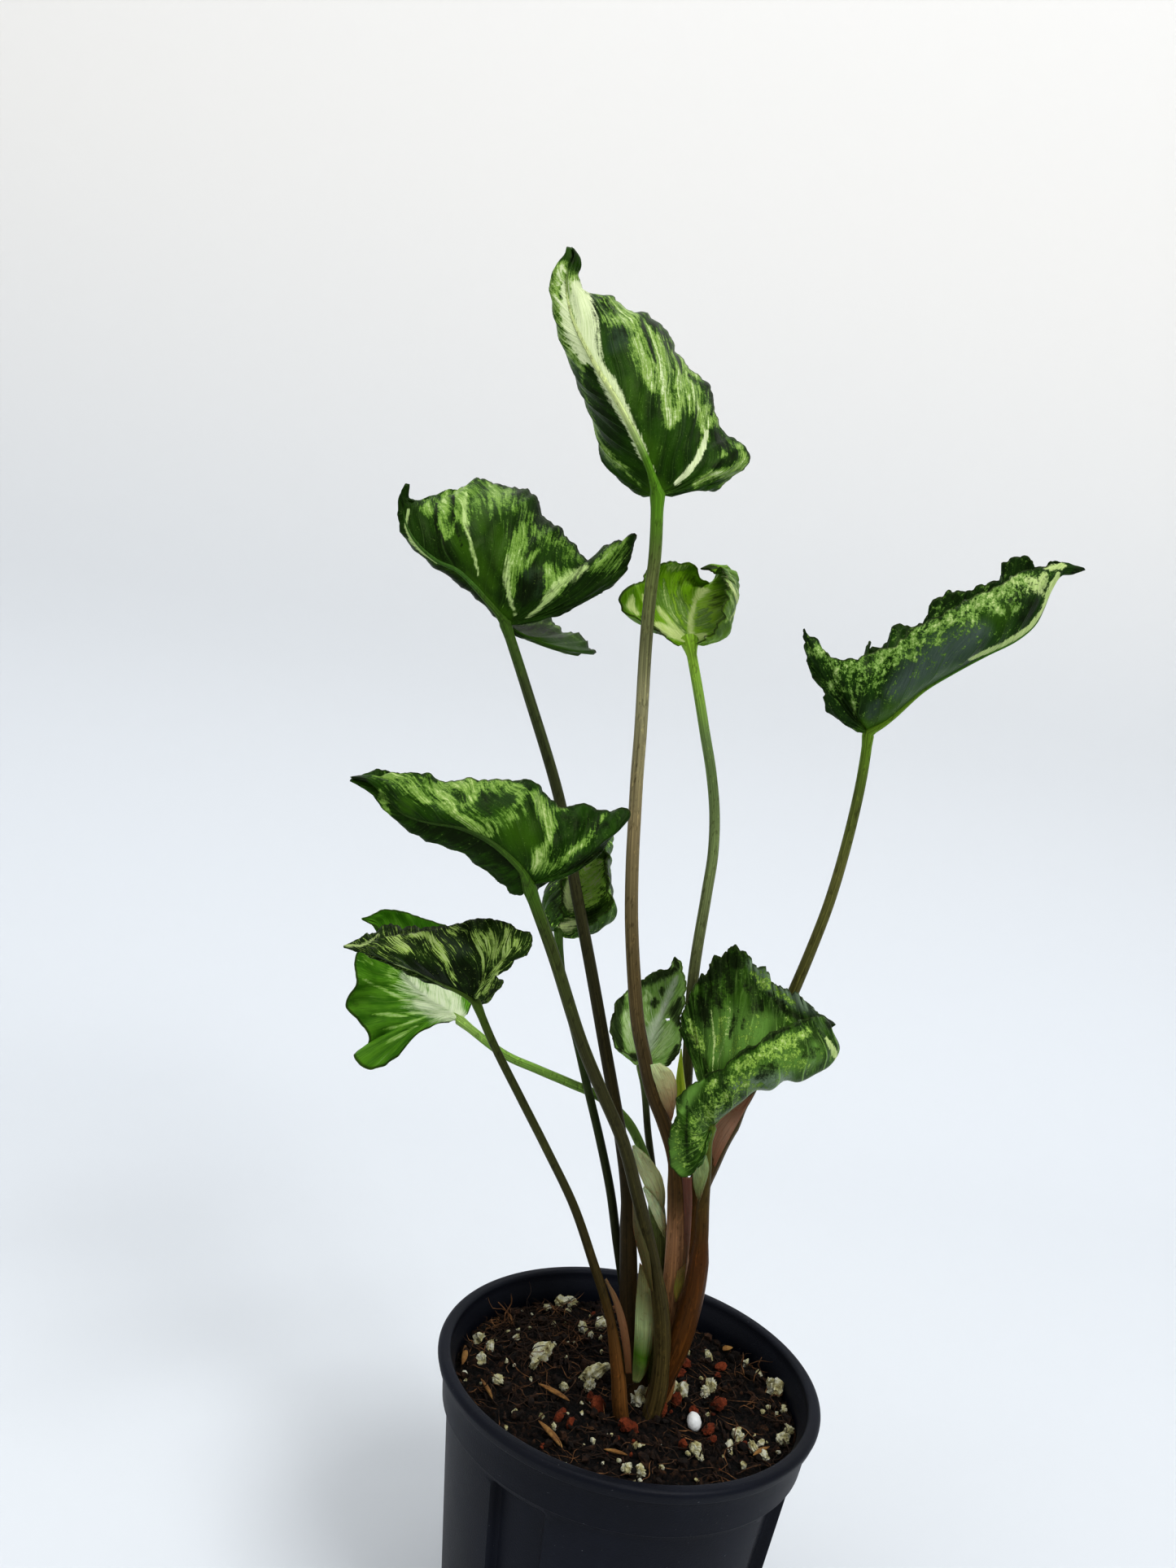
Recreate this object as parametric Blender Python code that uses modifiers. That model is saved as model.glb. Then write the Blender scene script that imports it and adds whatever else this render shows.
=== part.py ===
"""Potted curled-leaf arum: a round nursery pot of potting mix with ten arrow-shaped leaves on long stalks.

Metres, +Z up. The origin is the centre of the pot's flat underside. The places of leaves and stalks were read
off one photograph of 1445 x 1927 pixels: each is a pixel and a nearness, in millimetres, to the eye of that view.
"""
import math
import random

import bmesh
import bpy
import numpy as np
from mathutils import Matrix, Vector, noise
from mathutils.bvhtree import BVHTree

MM = 0.001
GAP = 0.3 * MM                       # clearance between neighbours that touch

RIM_RADIUS = 52.5 * MM
POT_HEIGHT = 95.0 * MM
POT_WALL = 1.3 * MM
BASE_RADIUS = 38.0 * MM
BASE_THICK = 2.0 * MM
LIP_WIDTH = 3.5 * MM
BEAD_DROP = 3.4 * MM                 # the rolled lip is this tall
COLLAR_DROP = 13.4 * MM              # the plain collar ends this far below the top
COLLAR_RADIUS = 48.5 * MM
RECESS_COUNT = 4
RECESS_DEPTH = 3.0 * MM
RECESS_HALF_ANGLE = math.radians(8.5)
RECESS_EDGE_ANGLE = math.radians(1.6)
RECESS_TURN = math.radians(-123.0)   # the recess seen left of the front
RECESS_TOP = POT_HEIGHT - 15.0 * MM
RECESS_BOTTOM = 9.0 * MM
POT_STEPS = 48
DRAIN_COUNT = 4
DRAIN_RADIUS = 4.0 * MM
DRAIN_RING = 24.0 * MM

SOIL_DROP = 9.0 * MM                 # mix level below the pot's top
SOIL_LEVEL = POT_HEIGHT - SOIL_DROP
SOIL_STEPS = 36
SOIL_EDGE_GAP = 0.9 * MM             # between the mix's polygon and the pot's
SWELLS = (1.6 * MM, 45.0)            # height and waves in a metre of the mix's low swells
CRUMBS = (0.8 * MM, 170.0)
BANK_HEIGHT = 2.5 * MM               # coir heaped at the back left
BANK_PLACE = (-26.0 * MM, 20.0 * MM)
BANK_SPREAD = 14.0 * MM
CROWN_PLACE = (4.2 * MM, -2.8 * MM)
CROWN_RADIUS = 12.2 * MM
CROWN_DEPTH = 14.0 * MM              # the stem base reaches this far below the mix's level
CROWN_STEPS = 24

BLADE_THICKNESS = 0.8 * MM
BLADE_COLUMNS = 20
BLADE_ROWS = 4
SMALL_COLUMNS = 16
SMALL_ROWS = 3
CURVE_POINTS = 400                   # fineness of the curves that shapes are read from
STALK_POINTS = 12
SHEATH_POINTS = 7
ROOT_DROP = 6.0 * MM                 # stalks start this far below the mix's level
ROOT_DRAW = 0.6                      # and draw in to this share of their distance from the stem base's middle
STALK_TIP_RADIUS = 0.5 * MM          # the stalk narrows to this where it meets its blade
STALK_TIP_LENGTH = 1.6 * MM

# The photograph's view: frame, focal length in pixels, and the rim's centre seen from the eye
PHOTO_WIDTH = 1445
PHOTO_HEIGHT = 1927
FOCAL_PIXELS = 1449.0
RIM_SEEN = (11.3 * MM, 158.2 * MM, 323.0 * MM)
VIEW_DIP = math.radians(4.1)
VIEW_ROLL = math.radians(9.3)

# Each blade: midrib from its root point to its tip, and both margins from the notch round the lobe to the tip.
# "fan" is the share of a margin whose ribs start at the root point, "puff" bends the ribs: at a share of
# the margin, the belly lies so many pixels right, pixels down and millimetres nearer than the straight rib.
BLADES = {
    "top": {
        "midrib": [(808, 608, 0), (795, 568, 4), (762, 500, 8), (727, 441, 8), (703, 390, 6), (696, 345, 4),
                   (702, 322, 3), (711, 308, 2)],
        "left": [(798, 600, -8), (787, 590, -15), (776, 572, -19), (770, 545, -17), (756, 505, -19),
                 (740, 455, -19), (722, 405, -15), (704, 355, -7), (698, 334, -1)],
        "right": [(825, 610, -3), (865, 600, -9), (888, 597, -12), (909, 579, -14), (921, 563, -14),
                  (908, 543, -14), (890, 531, -14), (876, 513, -14), (878, 487, -15), (866, 465, -15),
                  (846, 457, -15), (830, 426, -14), (798, 390, -11), (766, 374, -8), (738, 364, -4),
                  (716, 357, 0), (707, 335, 2)],
        "puff_left": [(0.0, -6, 4, 0), (0.35, -36, 4, 0), (0.7, -32, 6, 3), (1.0, -8, 0, 1)],
        "puff_right": [(0.0, 0, 1, 1), (0.3, 2, -4, 3), (0.7, 4, -2, 5), (1.0, -2, 0, 1)],
        "fan": 0.36, "frill": 1.3, "frills": 7, "seed": 11,
        "colour": (0.10, 0.27, 0.06)},
    "upper_left": {
        "midrib": [(621, 766, -6), (604, 745, -2), (563, 702, 2), (536, 689, 3), (510, 665, 3), (498, 638, 2),
                   (495, 614, 2), (504, 596, 2)],
        "left": [(636, 782, -10), (662, 789, -15), (690, 796, -20), (713, 804, -23), (733, 800, -25),
                 (718, 786, -28), (696, 770, -30), (666, 744, -31), (630, 700, -31), (590, 662, -29),
                 (550, 640, -20), (520, 625, -8), (504, 612, 0)],
        "right": [(634, 764, -8), (667, 757, -8), (701, 748, -8), (735, 730, -9), (761, 711, -10),
                  (774, 689, -10), (780, 657, -9), (765, 666, -10), (749, 674, -11), (727, 690, -12),
                  (703, 668, -14), (690, 652, -14), (664, 629, -16), (648, 602, -17), (625, 597, -18),
                  (590, 591, -16), (559, 601, -12), (529, 612, -6), (511, 617, -1)],
        "puff_left": [(0.0, 0, 3, 0), (0.3, -2, 14, 6), (0.65, -20, 30, 6), (1.0, -6, 4, 0)],
        "puff_right": [(0.0, 2, 3, 1), (0.3, 6, 6, 4), (0.65, -4, -2, 7), (1.0, -4, 0, 1)],
        "fan": 0.40, "frill": 1.4, "frills": 8, "seed": 21,
        "colour": (0.09, 0.25, 0.06)},
    "small_upright": {
        "midrib": [(847, 788, -25), (853, 760, -31), (862, 727, -37), (875, 708, -38), (884, 697, -34),
                   (876, 694, -30), (861, 700, -28)],
        "left": [(834, 796, -21), (815, 784, -16), (803, 774, -13), (787, 768, -12), (766, 746, -14),
                 (763, 729, -15), (776, 721, -18), (793, 702, -26), (812, 692, -32), (833, 690, -38),
                 (850, 694, -41), (866, 706, -43), (880, 704, -40)],
        "right": [(856, 791, -22), (869, 784, -16), (880, 772, -13), (889, 750, -11), (893, 730, -13),
                  (891, 712, -17), (886, 701, -24)],
        "puff_left": [(0.0, 0, 0, 0), (0.4, -6, 6, -5), (0.75, -4, 2, -6), (1.0, 0, 0, 0)],
        "puff_right": [(0.0, 4, 2, 0), (0.35, 28, 8, -3), (0.7, 34, 2, -6), (1.0, 16, 0, -1)],
        "fan": 0.34, "frill": 0.8, "frills": 6, "small": True, "seed": 31,
        "colour": (0.28, 0.45, 0.07)},
    "right": {
        "midrib": [(1067, 899, 0), (1090, 886, 2), (1134, 848, 4), (1171, 826, 5), (1209, 806, 6),
                   (1248, 787, 5), (1271, 768, 3), (1281, 750, 2), (1292, 724, 1), (1303, 707, 0),
                   (1318, 705, 0), (1331, 698, 0)],
        "left": [(1052, 898, 3), (1033, 885, 5), (1016, 869, 7), (1006, 844, 8), (995, 818, 8), (990, 792, 9),
                 (986, 772, 9), (997, 784, 9), (1012, 799, 9), (1032, 809, 10), (1050, 809, 10),
                 (1074, 803, 10), (1096, 794, 9), (1125, 772, 9), (1147, 760, 9), (1188, 738, 9),
                 (1222, 722, 8), (1252, 704, 6), (1280, 698, 3), (1306, 692, 1)],
        "right": [(1066, 880, -5), (1064, 850, -12), (1061, 815, -18), (1069, 788, -22), (1063, 800, -25),
                  (1079, 794, -25), (1096, 783, -24), (1104, 768, -23), (1124, 768, -22), (1144, 749, -21),
                  (1163, 726, -20), (1186, 728, -19), (1219, 712, -17), (1241, 689, -13), (1261, 684, -9),
                  (1278, 697, -6), (1303, 691, -3)],
        "puff_left": [(0.0, -2, 2, 1), (0.3, -4, 6, 4), (0.65, 4, 8, 5), (1.0, 2, 2, 0)],
        "puff_right": [(0.0, 0, 0, 0), (0.3, -4, 4, -4), (0.65, 4, 12, -6), (1.0, 2, 2, -1)],
        "fan": 0.38, "frill": 1.3, "frills": 8, "seed": 41,
        "colour": (0.08, 0.22, 0.06)},
    "front_left": {
        "midrib": [(649, 1087, 44), (640, 1068, 47), (602, 1034, 50), (565, 1017, 51), (524, 1010, 50),
                   (496, 1000, 49), (474, 980, 47), (456, 963, 46), (434, 955, 44)],
        "left": [(662, 1080, 36), (680, 1066, 29), (698, 1046, 22), (704, 1024, 17), (684, 1018, 17),
                 (655, 1010, 19), (620, 990, 21), (580, 975, 25), (540, 965, 30), (498, 955, 37),
                 (464, 948, 42)],
        "right": [(664, 1078, 43), (694, 1064, 42), (730, 1056, 40), (744, 1040, 38), (757, 1020, 37),
                  (775, 999, 36), (757, 996, 35), (735, 994, 35), (712, 988, 36), (691, 993, 37),
                  (674, 978, 39), (655, 964, 40), (626, 958, 41), (590, 958, 42), (553, 960, 43),
                  (524, 953, 44), (493, 951, 45), (462, 952, 45)],
        "puff_left": [(0.0, -2, 4, 2), (0.35, -20, 34, 8), (0.7, -16, 36, 6), (1.0, -2, 4, 1)],
        "puff_right": [(0.0, 0, 2, 1), (0.35, 4, 10, 4), (0.7, -2, 6, 5), (1.0, -2, 0, 1)],
        "fan": 0.40, "frill": 1.2, "frills": 7, "seed": 51,
        "colour": (0.10, 0.26, 0.06)},
    "low_left": {
        "midrib": [(585, 1232, 22), (566, 1220, 24), (543, 1209, 25), (519, 1197, 26), (484, 1184, 25),
                   (458, 1173, 24), (440, 1166, 23), (423, 1162, 22)],
        "left": [(592, 1226, 17), (604, 1221, 13), (613, 1214, 10), (616, 1206, 8), (606, 1192, 6),
                 (594, 1172, 5), (570, 1150, 5), (529, 1139, 7), (505, 1140, 10), (480, 1138, 14),
                 (456, 1146, 18), (439, 1155, 21)],
        "right": [(594, 1226, 25), (605, 1208, 27), (618, 1192, 28), (634, 1178, 28), (648, 1171, 28),
                  (652, 1148, 27), (635, 1140, 27), (610, 1131, 26), (591, 1129, 25), (563, 1135, 25),
                  (543, 1140, 25), (519, 1145, 25), (499, 1148, 25), (473, 1152, 24), (446, 1160, 23)],
        "puff_left": [(0.0, 0, 2, 0), (0.4, -4, 16, 4), (0.7, -4, 18, 5), (1.0, 0, 2, 0)],
        "puff_right": [(0.0, -2, -3, 1), (0.25, -6, -11, 3), (0.5, 2, 0, 4), (0.75, 0, 4, 5), (1.0, 0, 0, 0)],
        "fan": 0.42, "frill": 1.1, "frills": 9, "seed": 61,
        "colour": (0.06, 0.16, 0.05)},
    "pale_low": {
        "midrib": [(565, 1254, -18), (550, 1240, -22), (529, 1228, -26), (500, 1200, -30), (475, 1165, -32),
                   (460, 1143, -30), (450, 1130, -28)],
        "left": [(552, 1256, -16), (534, 1258, -14), (515, 1269, -12), (499, 1284, -10), (486, 1298, -9),
                 (469, 1311, -9), (455, 1315, -9), (441, 1308, -10), (435, 1297, -11), (440, 1288, -13),
                 (453, 1281, -15), (452, 1270, -16), (438, 1252, -18), (426, 1238, -19), (430, 1222, -20),
                 (435, 1212, -21), (436, 1189, -23), (440, 1169, -25), (444, 1148, -27)],
        "right": [(574, 1246, -22), (582, 1225, -26), (590, 1198, -31), (592, 1172, -35), (575, 1156, -37),
                  (555, 1142, -37), (534, 1133, -37), (511, 1125, -35), (486, 1119, -33), (466, 1120, -30)],
        "puff_left": [(0.0, 0, -1, -1), (0.12, 0, -10, -2), (0.27, 2, -22, -4), (0.5, 2, -4, -5),
                      (0.8, 4, 0, -4), (1.0, 0, 0, 0)],
        "puff_right": [(0.0, 0, 0, -1), (0.4, 4, 0, -5), (0.8, 2, 2, -4), (1.0, 0, 0, 0)],
        "fan": 0.40, "frill": 0.9, "frills": 5, "seed": 71,
        "colour": (0.16, 0.42, 0.06)},
    "small_back": {
        "midrib": [(686, 1146, -20), (697, 1120, -26), (712, 1085, -30), (728, 1052, -31), (742, 1026, -28),
                   (748, 1010, -25)],
        "left": [(687, 1138, -15), (691, 1118, -11), (691, 1092, -10), (694, 1072, -13), (710, 1050, -17),
                 (728, 1032, -21), (742, 1018, -24)],
        "right": [(698, 1150, -17), (718, 1139, -13), (734, 1122, -10), (744, 1100, -9), (747, 1080, -10),
                  (745, 1062, -13), (744, 1044, -17), (747, 1026, -22)],
        "puff_left": [(0.0, -6, 0, 0), (0.4, -25, 2, -4), (0.7, -18, -4, -5), (1.0, -2, 0, 0)],
        "puff_right": [(0.0, 2, 4, 0), (0.4, 27, 12, -4), (0.7, 18, 4, -5), (1.0, 6, 2, -1)],
        "fan": 0.34, "frill": 0.8, "frills": 6, "small": True, "seed": 81,
        "colour": (0.10, 0.22, 0.08)},
    "small_middle": {
        "midrib": [(787, 1311, -22), (797, 1285, -25), (808, 1258, -27), (820, 1230, -28), (830, 1205, -27),
                   (834, 1190, -25), (829, 1176, -23)],
        "left": [(778, 1300, -19), (762, 1290, -17), (753, 1278, -16), (751, 1259, -16), (756, 1236, -17),
                 (770, 1219, -19), (788, 1204, -21), (806, 1195, -23), (823, 1189, -24)],
        "right": [(800, 1311, -20), (812, 1311, -19), (822, 1308, -19), (831, 1298, -19), (837, 1279, -20),
                  (836, 1250, -21), (841, 1227, -22), (842, 1205, -22), (838, 1189, -23)],
        "puff_left": [(0.0, 0, 0, -1), (0.5, -3, 2, -4), (1.0, 0, 0, 0)],
        "puff_right": [(0.0, 0, 0, -1), (0.5, 3, 2, -4), (1.0, 0, 0, 0)],
        "fan": 0.36, "frill": 0.7, "frills": 6, "small": True, "seed": 91,
        "colour": (0.12, 0.26, 0.10)},
    "right_front": {
        "midrib": [(873, 1384, 14), (895, 1366, 17), (932, 1341, 20), (966, 1328, 21), (999, 1322, 19),
                   (1020, 1307, 16), (1030, 1287, 13), (1026, 1268, 11), (1021, 1254, 10)],
        "left": [(870, 1368, 11), (867, 1345, 9), (871, 1322, 7), (868, 1307, 5), (857, 1287, 3),
                 (843, 1270, 2), (838, 1250, 1), (846, 1228, -1), (858, 1203, -3), (869, 1194, -4),
                 (880, 1176, -5), (890, 1171, -5), (898, 1164, -5), (913, 1168, -4), (925, 1179, -3),
                 (938, 1194, -2), (949, 1207, -1), (968, 1216, 1), (986, 1227, 3), (999, 1240, 6),
                 (1013, 1249, 9)],
        "right": [(872, 1394, 16), (867, 1409, 17), (860, 1425, 18), (853, 1441, 19), (840, 1447, 19),
                  (828, 1438, 19), (821, 1420, 19), (824, 1398, 20), (828, 1370, 21), (835, 1348, 21),
                  (848, 1333, 21), (862, 1327, 22), (882, 1314, 23), (905, 1297, 24), (936, 1278, 24),
                  (962, 1262, 22), (990, 1252, 18), (1008, 1249, 13)],
        "puff_left": [(0.0, 0, 4, 0), (0.35, 4, 12, -2), (0.7, 4, 14, -3), (1.0, 2, 2, 0)],
        "puff_right": [(0.0, 1, 0, 1), (0.3, 2, 0, 3), (0.7, 2, 6, 5), (1.0, 2, 2, 1)],
        "fan": 0.44, "frill": 1.2, "frills": 9, "seed": 101,
        "colour": (0.13, 0.30, 0.07)},
}

# Each stalk: its way from the mix up to the blade, its radii at the root, halfway up and at the top of its
# sheath, just above it, halfway up the rest and under the blade, and its sheath's length, in millimetres.
STALKS = {
    "top": {
        "way": [(812, 1712, 1), (822, 1640, 2), (830, 1570, 2), (833, 1500, 2), (832, 1450, 2), (827, 1415, 2),
                (816, 1380, 2), (801, 1340, 2), (792, 1300, 1), (784, 1260, 1), (779, 1200, 0), (776, 1130, -1),
                (777, 1060, -1), (780, 1000, -2), (783, 950, -2), (787, 900, -2), (793, 800, -2), (798, 740, -1),
                (805, 680, -1), (808, 608, 0)],
        "radii": (3.0, 3.6, 2.8, 2.0, 1.8, 1.75), "sheath": 66, "colour": (0.16, 0.11, 0.05)},
    "upper_left": {
        "way": [(784, 1712, 1), (777, 1660, 0), (773, 1600, -1), (772, 1540, -2), (770, 1460, -3),
                (763, 1400, -3), (753, 1341, -4), (742, 1280, -5), (726, 1190, -5), (707, 1090, -6),
                (688, 985, -6), (648, 850, -6), (621, 766, -6)],
        "radii": (3.0, 2.7, 2.3, 1.8, 1.65, 1.45), "sheath": 52, "colour": (0.08, 0.10, 0.04)},
    "small_upright": {
        "way": [(812, 1700, -5), (826, 1600, -6), (836, 1500, -8), (840, 1400, -10), (845, 1310, -12),
                (852, 1200, -14), (868, 1100, -17), (876, 1050, -18), (878, 1000, -20), (874, 950, -21),
                (866, 900, -22), (858, 850, -23), (847, 788, -25)],
        "radii": (2.6, 2.2, 2.0, 1.6, 1.6, 1.5), "sheath": 40, "colour": (0.14, 0.16, 0.06)},
    "right": {
        "way": [(810, 1712, 0), (824, 1650, -1), (838, 1590, -2), (848, 1520, -3), (858, 1460, -4),
                (871, 1430, -5), (885, 1400, -6), (903, 1370, -7), (921, 1340, -8), (948, 1278, -9),
                (977, 1214, -9), (998, 1164, -8), (1019, 1109, -7), (1039, 1042, -5), (1056, 971, -3),
                (1064, 925, -1), (1067, 899, 0)],
        "radii": (2.8, 3.2, 3.0, 1.8, 1.5, 1.4), "sheath": 84, "colour": (0.17, 0.10, 0.05)},
    "front_left": {
        "way": [(808, 1712, 8), (814, 1647, 10), (809, 1586, 12), (797, 1525, 15), (782, 1464, 19),
                (765, 1402, 23), (739, 1341, 28), (714, 1280, 33), (679, 1170, 40), (649, 1087, 44)],
        "radii": (2.8, 2.4, 2.2, 1.8, 1.6, 1.5), "sheath": 40, "colour": (0.10, 0.10, 0.04)},
    "low_left": {
        "way": [(762, 1730, 10), (759, 1684, 11), (749, 1617, 12), (728, 1549, 14), (705, 1482, 16),
                (673, 1415, 19), (640, 1350, 21), (605, 1280, 22), (585, 1232, 22)],
        "radii": (2.0, 2.1, 1.7, 1.3, 1.1, 1.05), "sheath": 26, "colour": (0.11, 0.09, 0.04)},
    "pale_low": {
        "way": [(800, 1712, -3), (806, 1600, -5), (808, 1500, -7), (799, 1445, -9), (787, 1408, -10),
                (770, 1377, -11), (737, 1348, -13), (700, 1331, -15), (660, 1314, -16), (620, 1296, -18),
                (565, 1254, -18)],
        "radii": (2.8, 2.6, 2.4, 1.4, 1.3, 1.2), "sheath": 56, "colour": (0.16, 0.30, 0.05)},
    "small_back": {
        "way": [(780, 1700, -3), (773, 1640, -5), (766, 1580, -6), (758, 1525, -7), (750, 1464, -8),
                (737, 1400, -9), (723, 1341, -10), (709, 1280, -11), (692, 1210, -15), (686, 1146, -20)],
        "radii": (2.0, 1.6, 1.4, 1.3, 1.2, 1.1), "sheath": 26, "colour": (0.08, 0.13, 0.04)},
    "small_middle": {
        "way": [(804, 1712, -4), (810, 1600, -10), (810, 1500, -14), (801, 1430, -17), (796, 1390, -19),
                (792, 1341, -21), (787, 1311, -22)],
        "radii": (1.8, 1.5, 1.3, 1.2, 1.05, 1.0), "sheath": 30, "colour": (0.08, 0.14, 0.05)},
    "right_front": {
        "way": [(808, 1712, 5), (821, 1680, 7), (835, 1647, 8), (852, 1590, 9), (861, 1530, 10),
                (864, 1480, 11), (867, 1440, 12), (869, 1405, 13), (873, 1384, 14)],
        "radii": (2.6, 3.3, 2.7, 1.9, 1.6, 1.4), "sheath": 50, "colour": (0.17, 0.13, 0.05)},
}

SPEAR_WAY = [(835, 1484, -1.7), (838, 1450, -2.8), (841, 1400, -4), (840, 1350, -5), (843, 1315, -6),
             (847, 1292, -6)]
SPEAR_RADII = (0.7, 1.5, 1.3, 1.0, 0.25)
SPEAR_COLOUR = (0.42, 0.50, 0.05)

# Lumps in the mix that show in the photograph: pixel and size in millimetres
PERLITE = [(664, 1677, 7.0), (729, 1694, 8.0), (785, 1727, 7.0), (822, 1714, 4.0), (838, 1717, 4.0),
           (852, 1754, 4.6), (590, 1650, 4.0), (592, 1678, 4.0), (604, 1664, 4.0), (612, 1700, 3.6),
           (950, 1770, 5.0), (905, 1762, 3.6), (870, 1716, 4.4), (895, 1778, 3.4), (858, 1786, 4.4),
           (745, 1808, 4.2), (790, 1814, 4.4), (716, 1638, 4.6), (684, 1596, 4.6), (693, 1705, 3.4)]
CLAY = [(872, 1727, 6.0), (690, 1742, 4.6), (740, 1726, 5.4), (768, 1754, 4.4), (845, 1742, 4.4),
        (825, 1725, 4.6), (885, 1682, 4.6), (843, 1682, 4.2), (838, 1770, 3.8), (876, 1770, 3.2)]
SPARE_LUMPS = 10
LUMP_RISE = 0.1                      # share of its size that a lump's middle stands above the mix
LUMP_SEED = 5


def view_axes():
    """Right, down and away directions of the photograph's view, in the pot's frame."""
    cos_dip, sin_dip = math.cos(VIEW_DIP), math.sin(VIEW_DIP)
    cos_roll, sin_roll = math.cos(VIEW_ROLL), math.sin(VIEW_ROLL)
    right = np.array([cos_roll, sin_roll * sin_dip, sin_roll * cos_dip])
    down = np.array([sin_roll, -sin_dip * cos_roll, -cos_dip * cos_roll])
    away = np.array([0.0, cos_dip, -sin_dip])
    return right, down, away


VIEW_RIGHT, VIEW_DOWN, VIEW_AWAY = view_axes()
EYE = np.array([0.0, 0.0, POT_HEIGHT]) - (
    RIM_SEEN[0] * VIEW_RIGHT + RIM_SEEN[1] * VIEW_DOWN + RIM_SEEN[2] * VIEW_AWAY)


def sight(px, py):
    """Direction through a pixel, one metre deep."""
    across = (px - PHOTO_WIDTH / 2) / FOCAL_PIXELS
    below = (py - PHOTO_HEIGHT / 2) / FOCAL_PIXELS
    return across * VIEW_RIGHT + below * VIEW_DOWN + VIEW_AWAY


def spot(px, py, near):
    """Point behind a pixel, nearer to the eye than the rim's centre by near millimetres."""
    return EYE + (RIM_SEEN[2] - near * MM) * sight(px, py)


def on_mix(px, py):
    """Point of the mix's level that a pixel shows."""
    ray = sight(px, py)
    return EYE + ray * (SOIL_LEVEL - EYE[2]) / ray[2]


def smooth_curve(points, count):
    """Points evenly spaced along a centripetal Catmull-Rom curve through the given ones."""
    given = np.asarray(points, float)
    ends = np.vstack([2 * given[0] - given[1], given, 2 * given[-1] - given[-2]])
    steps = np.linalg.norm(np.diff(ends, axis=0), axis=1) ** 0.5
    knots = np.concatenate([[0.0], np.cumsum(steps)])
    dense = []
    for i in range(1, len(ends) - 2):
        k0, k1, k2, k3 = knots[i - 1:i + 3]
        p0, p1, p2, p3 = ends[i - 1:i + 3]
        at = np.linspace(k1, k2, 16, endpoint=False)[:, None]
        a1 = (k1 - at) / (k1 - k0) * p0 + (at - k0) / (k1 - k0) * p1
        a2 = (k2 - at) / (k2 - k1) * p1 + (at - k1) / (k2 - k1) * p2
        a3 = (k3 - at) / (k3 - k2) * p2 + (at - k2) / (k3 - k2) * p3
        b1 = (k2 - at) / (k2 - k0) * a1 + (at - k0) / (k2 - k0) * a2
        b2 = (k3 - at) / (k3 - k1) * a2 + (at - k1) / (k3 - k1) * a3
        dense.append((k2 - at) / (k2 - k1) * b1 + (at - k1) / (k2 - k1) * b2)
    dense = np.vstack(dense + [given[-1:]])
    run = np.concatenate([[0.0], np.cumsum(np.linalg.norm(np.diff(dense, axis=0), axis=1))])
    evenly = np.linspace(0, run[-1], count)
    return np.stack([np.interp(evenly, run, dense[:, k]) for k in range(3)], axis=1)


def length_of(curve):
    return float(np.linalg.norm(np.diff(curve, axis=0), axis=1).sum())


def along(curve, share):
    """Point at a share of an evenly spaced curve."""
    at = min(max(share, 0.0), 1.0) * (len(curve) - 1)
    low = min(int(at), len(curve) - 2)
    return curve[low] + (curve[low + 1] - curve[low]) * (at - low)


def ripple(share, count, seed):
    """Uneven wave along a margin, between about -1 and 1."""
    turns = random.Random(seed)
    wave = 0.0
    for strength, pace in ((0.55, 1.0), (0.30, 1.7), (0.25, 0.53), (0.15, 2.9)):
        wave += strength * math.sin(math.tau * count * pace * share + turns.uniform(0, math.tau))
    return wave


def collection(name):
    made = bpy.data.collections.new(name)
    bpy.context.scene.collection.children.link(made)
    return made


def material(name, colour, roughness):
    made = bpy.data.materials.new(name)
    made.use_nodes = True
    shader = made.node_tree.nodes["Principled BSDF"]
    shader.inputs["Base Color"].default_value = (*colour, 1.0)
    shader.inputs["Roughness"].default_value = roughness
    shader.inputs["Metallic"].default_value = 0.0
    made.diffuse_color = (*colour, 1.0)
    return made


def add_object(name, data, group, finish):
    thing = bpy.data.objects.new(name, data)
    group.objects.link(thing)
    if finish:
        data.materials.append(finish)
    return thing


def frozen_mesh(thing):
    """Evaluated mesh of an object, in world space, with its loose caps welded; the object is removed."""
    bpy.context.view_layer.update()
    graph = bpy.context.evaluated_depsgraph_get()
    mesh = bpy.data.meshes.new_from_object(thing.evaluated_get(graph))
    mesh.transform(thing.matrix_world)
    bm = bmesh.new()
    bm.from_mesh(mesh)
    bmesh.ops.remove_doubles(bm, verts=bm.verts, dist=0.00001)
    bm.to_mesh(mesh)
    bm.free()
    bpy.data.objects.remove(thing)
    return mesh


def turned(name, profile, steps, group, finish):
    """Closed solid turned round Z from a profile of (radius, height) that runs down its outer side."""
    mesh = bpy.data.meshes.new(name)
    verts = [(radius, 0.0, height) for radius, height in profile]
    mesh.from_pydata(verts, [(i, i + 1) for i in range(len(verts) - 1)], [])
    thing = add_object(name, mesh, group, finish)
    screw = thing.modifiers.new("turn", "SCREW")
    screw.steps = steps
    screw.render_steps = steps
    screw.use_merge_vertices = True
    screw.merge_threshold = 0.00001
    screw.use_smooth_shade = True
    return thing


def boolean(thing, kind, **target):
    cut = thing.modifiers.new(kind.lower(), "BOOLEAN")
    cut.operation = kind
    cut.solver = "EXACT"
    for key, value in target.items():
        setattr(cut, key, value)
    return cut


def shade(mesh, degrees=40):
    mesh.shade_smooth()
    mesh.set_sharp_from_angle(angle=math.radians(degrees))


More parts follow.
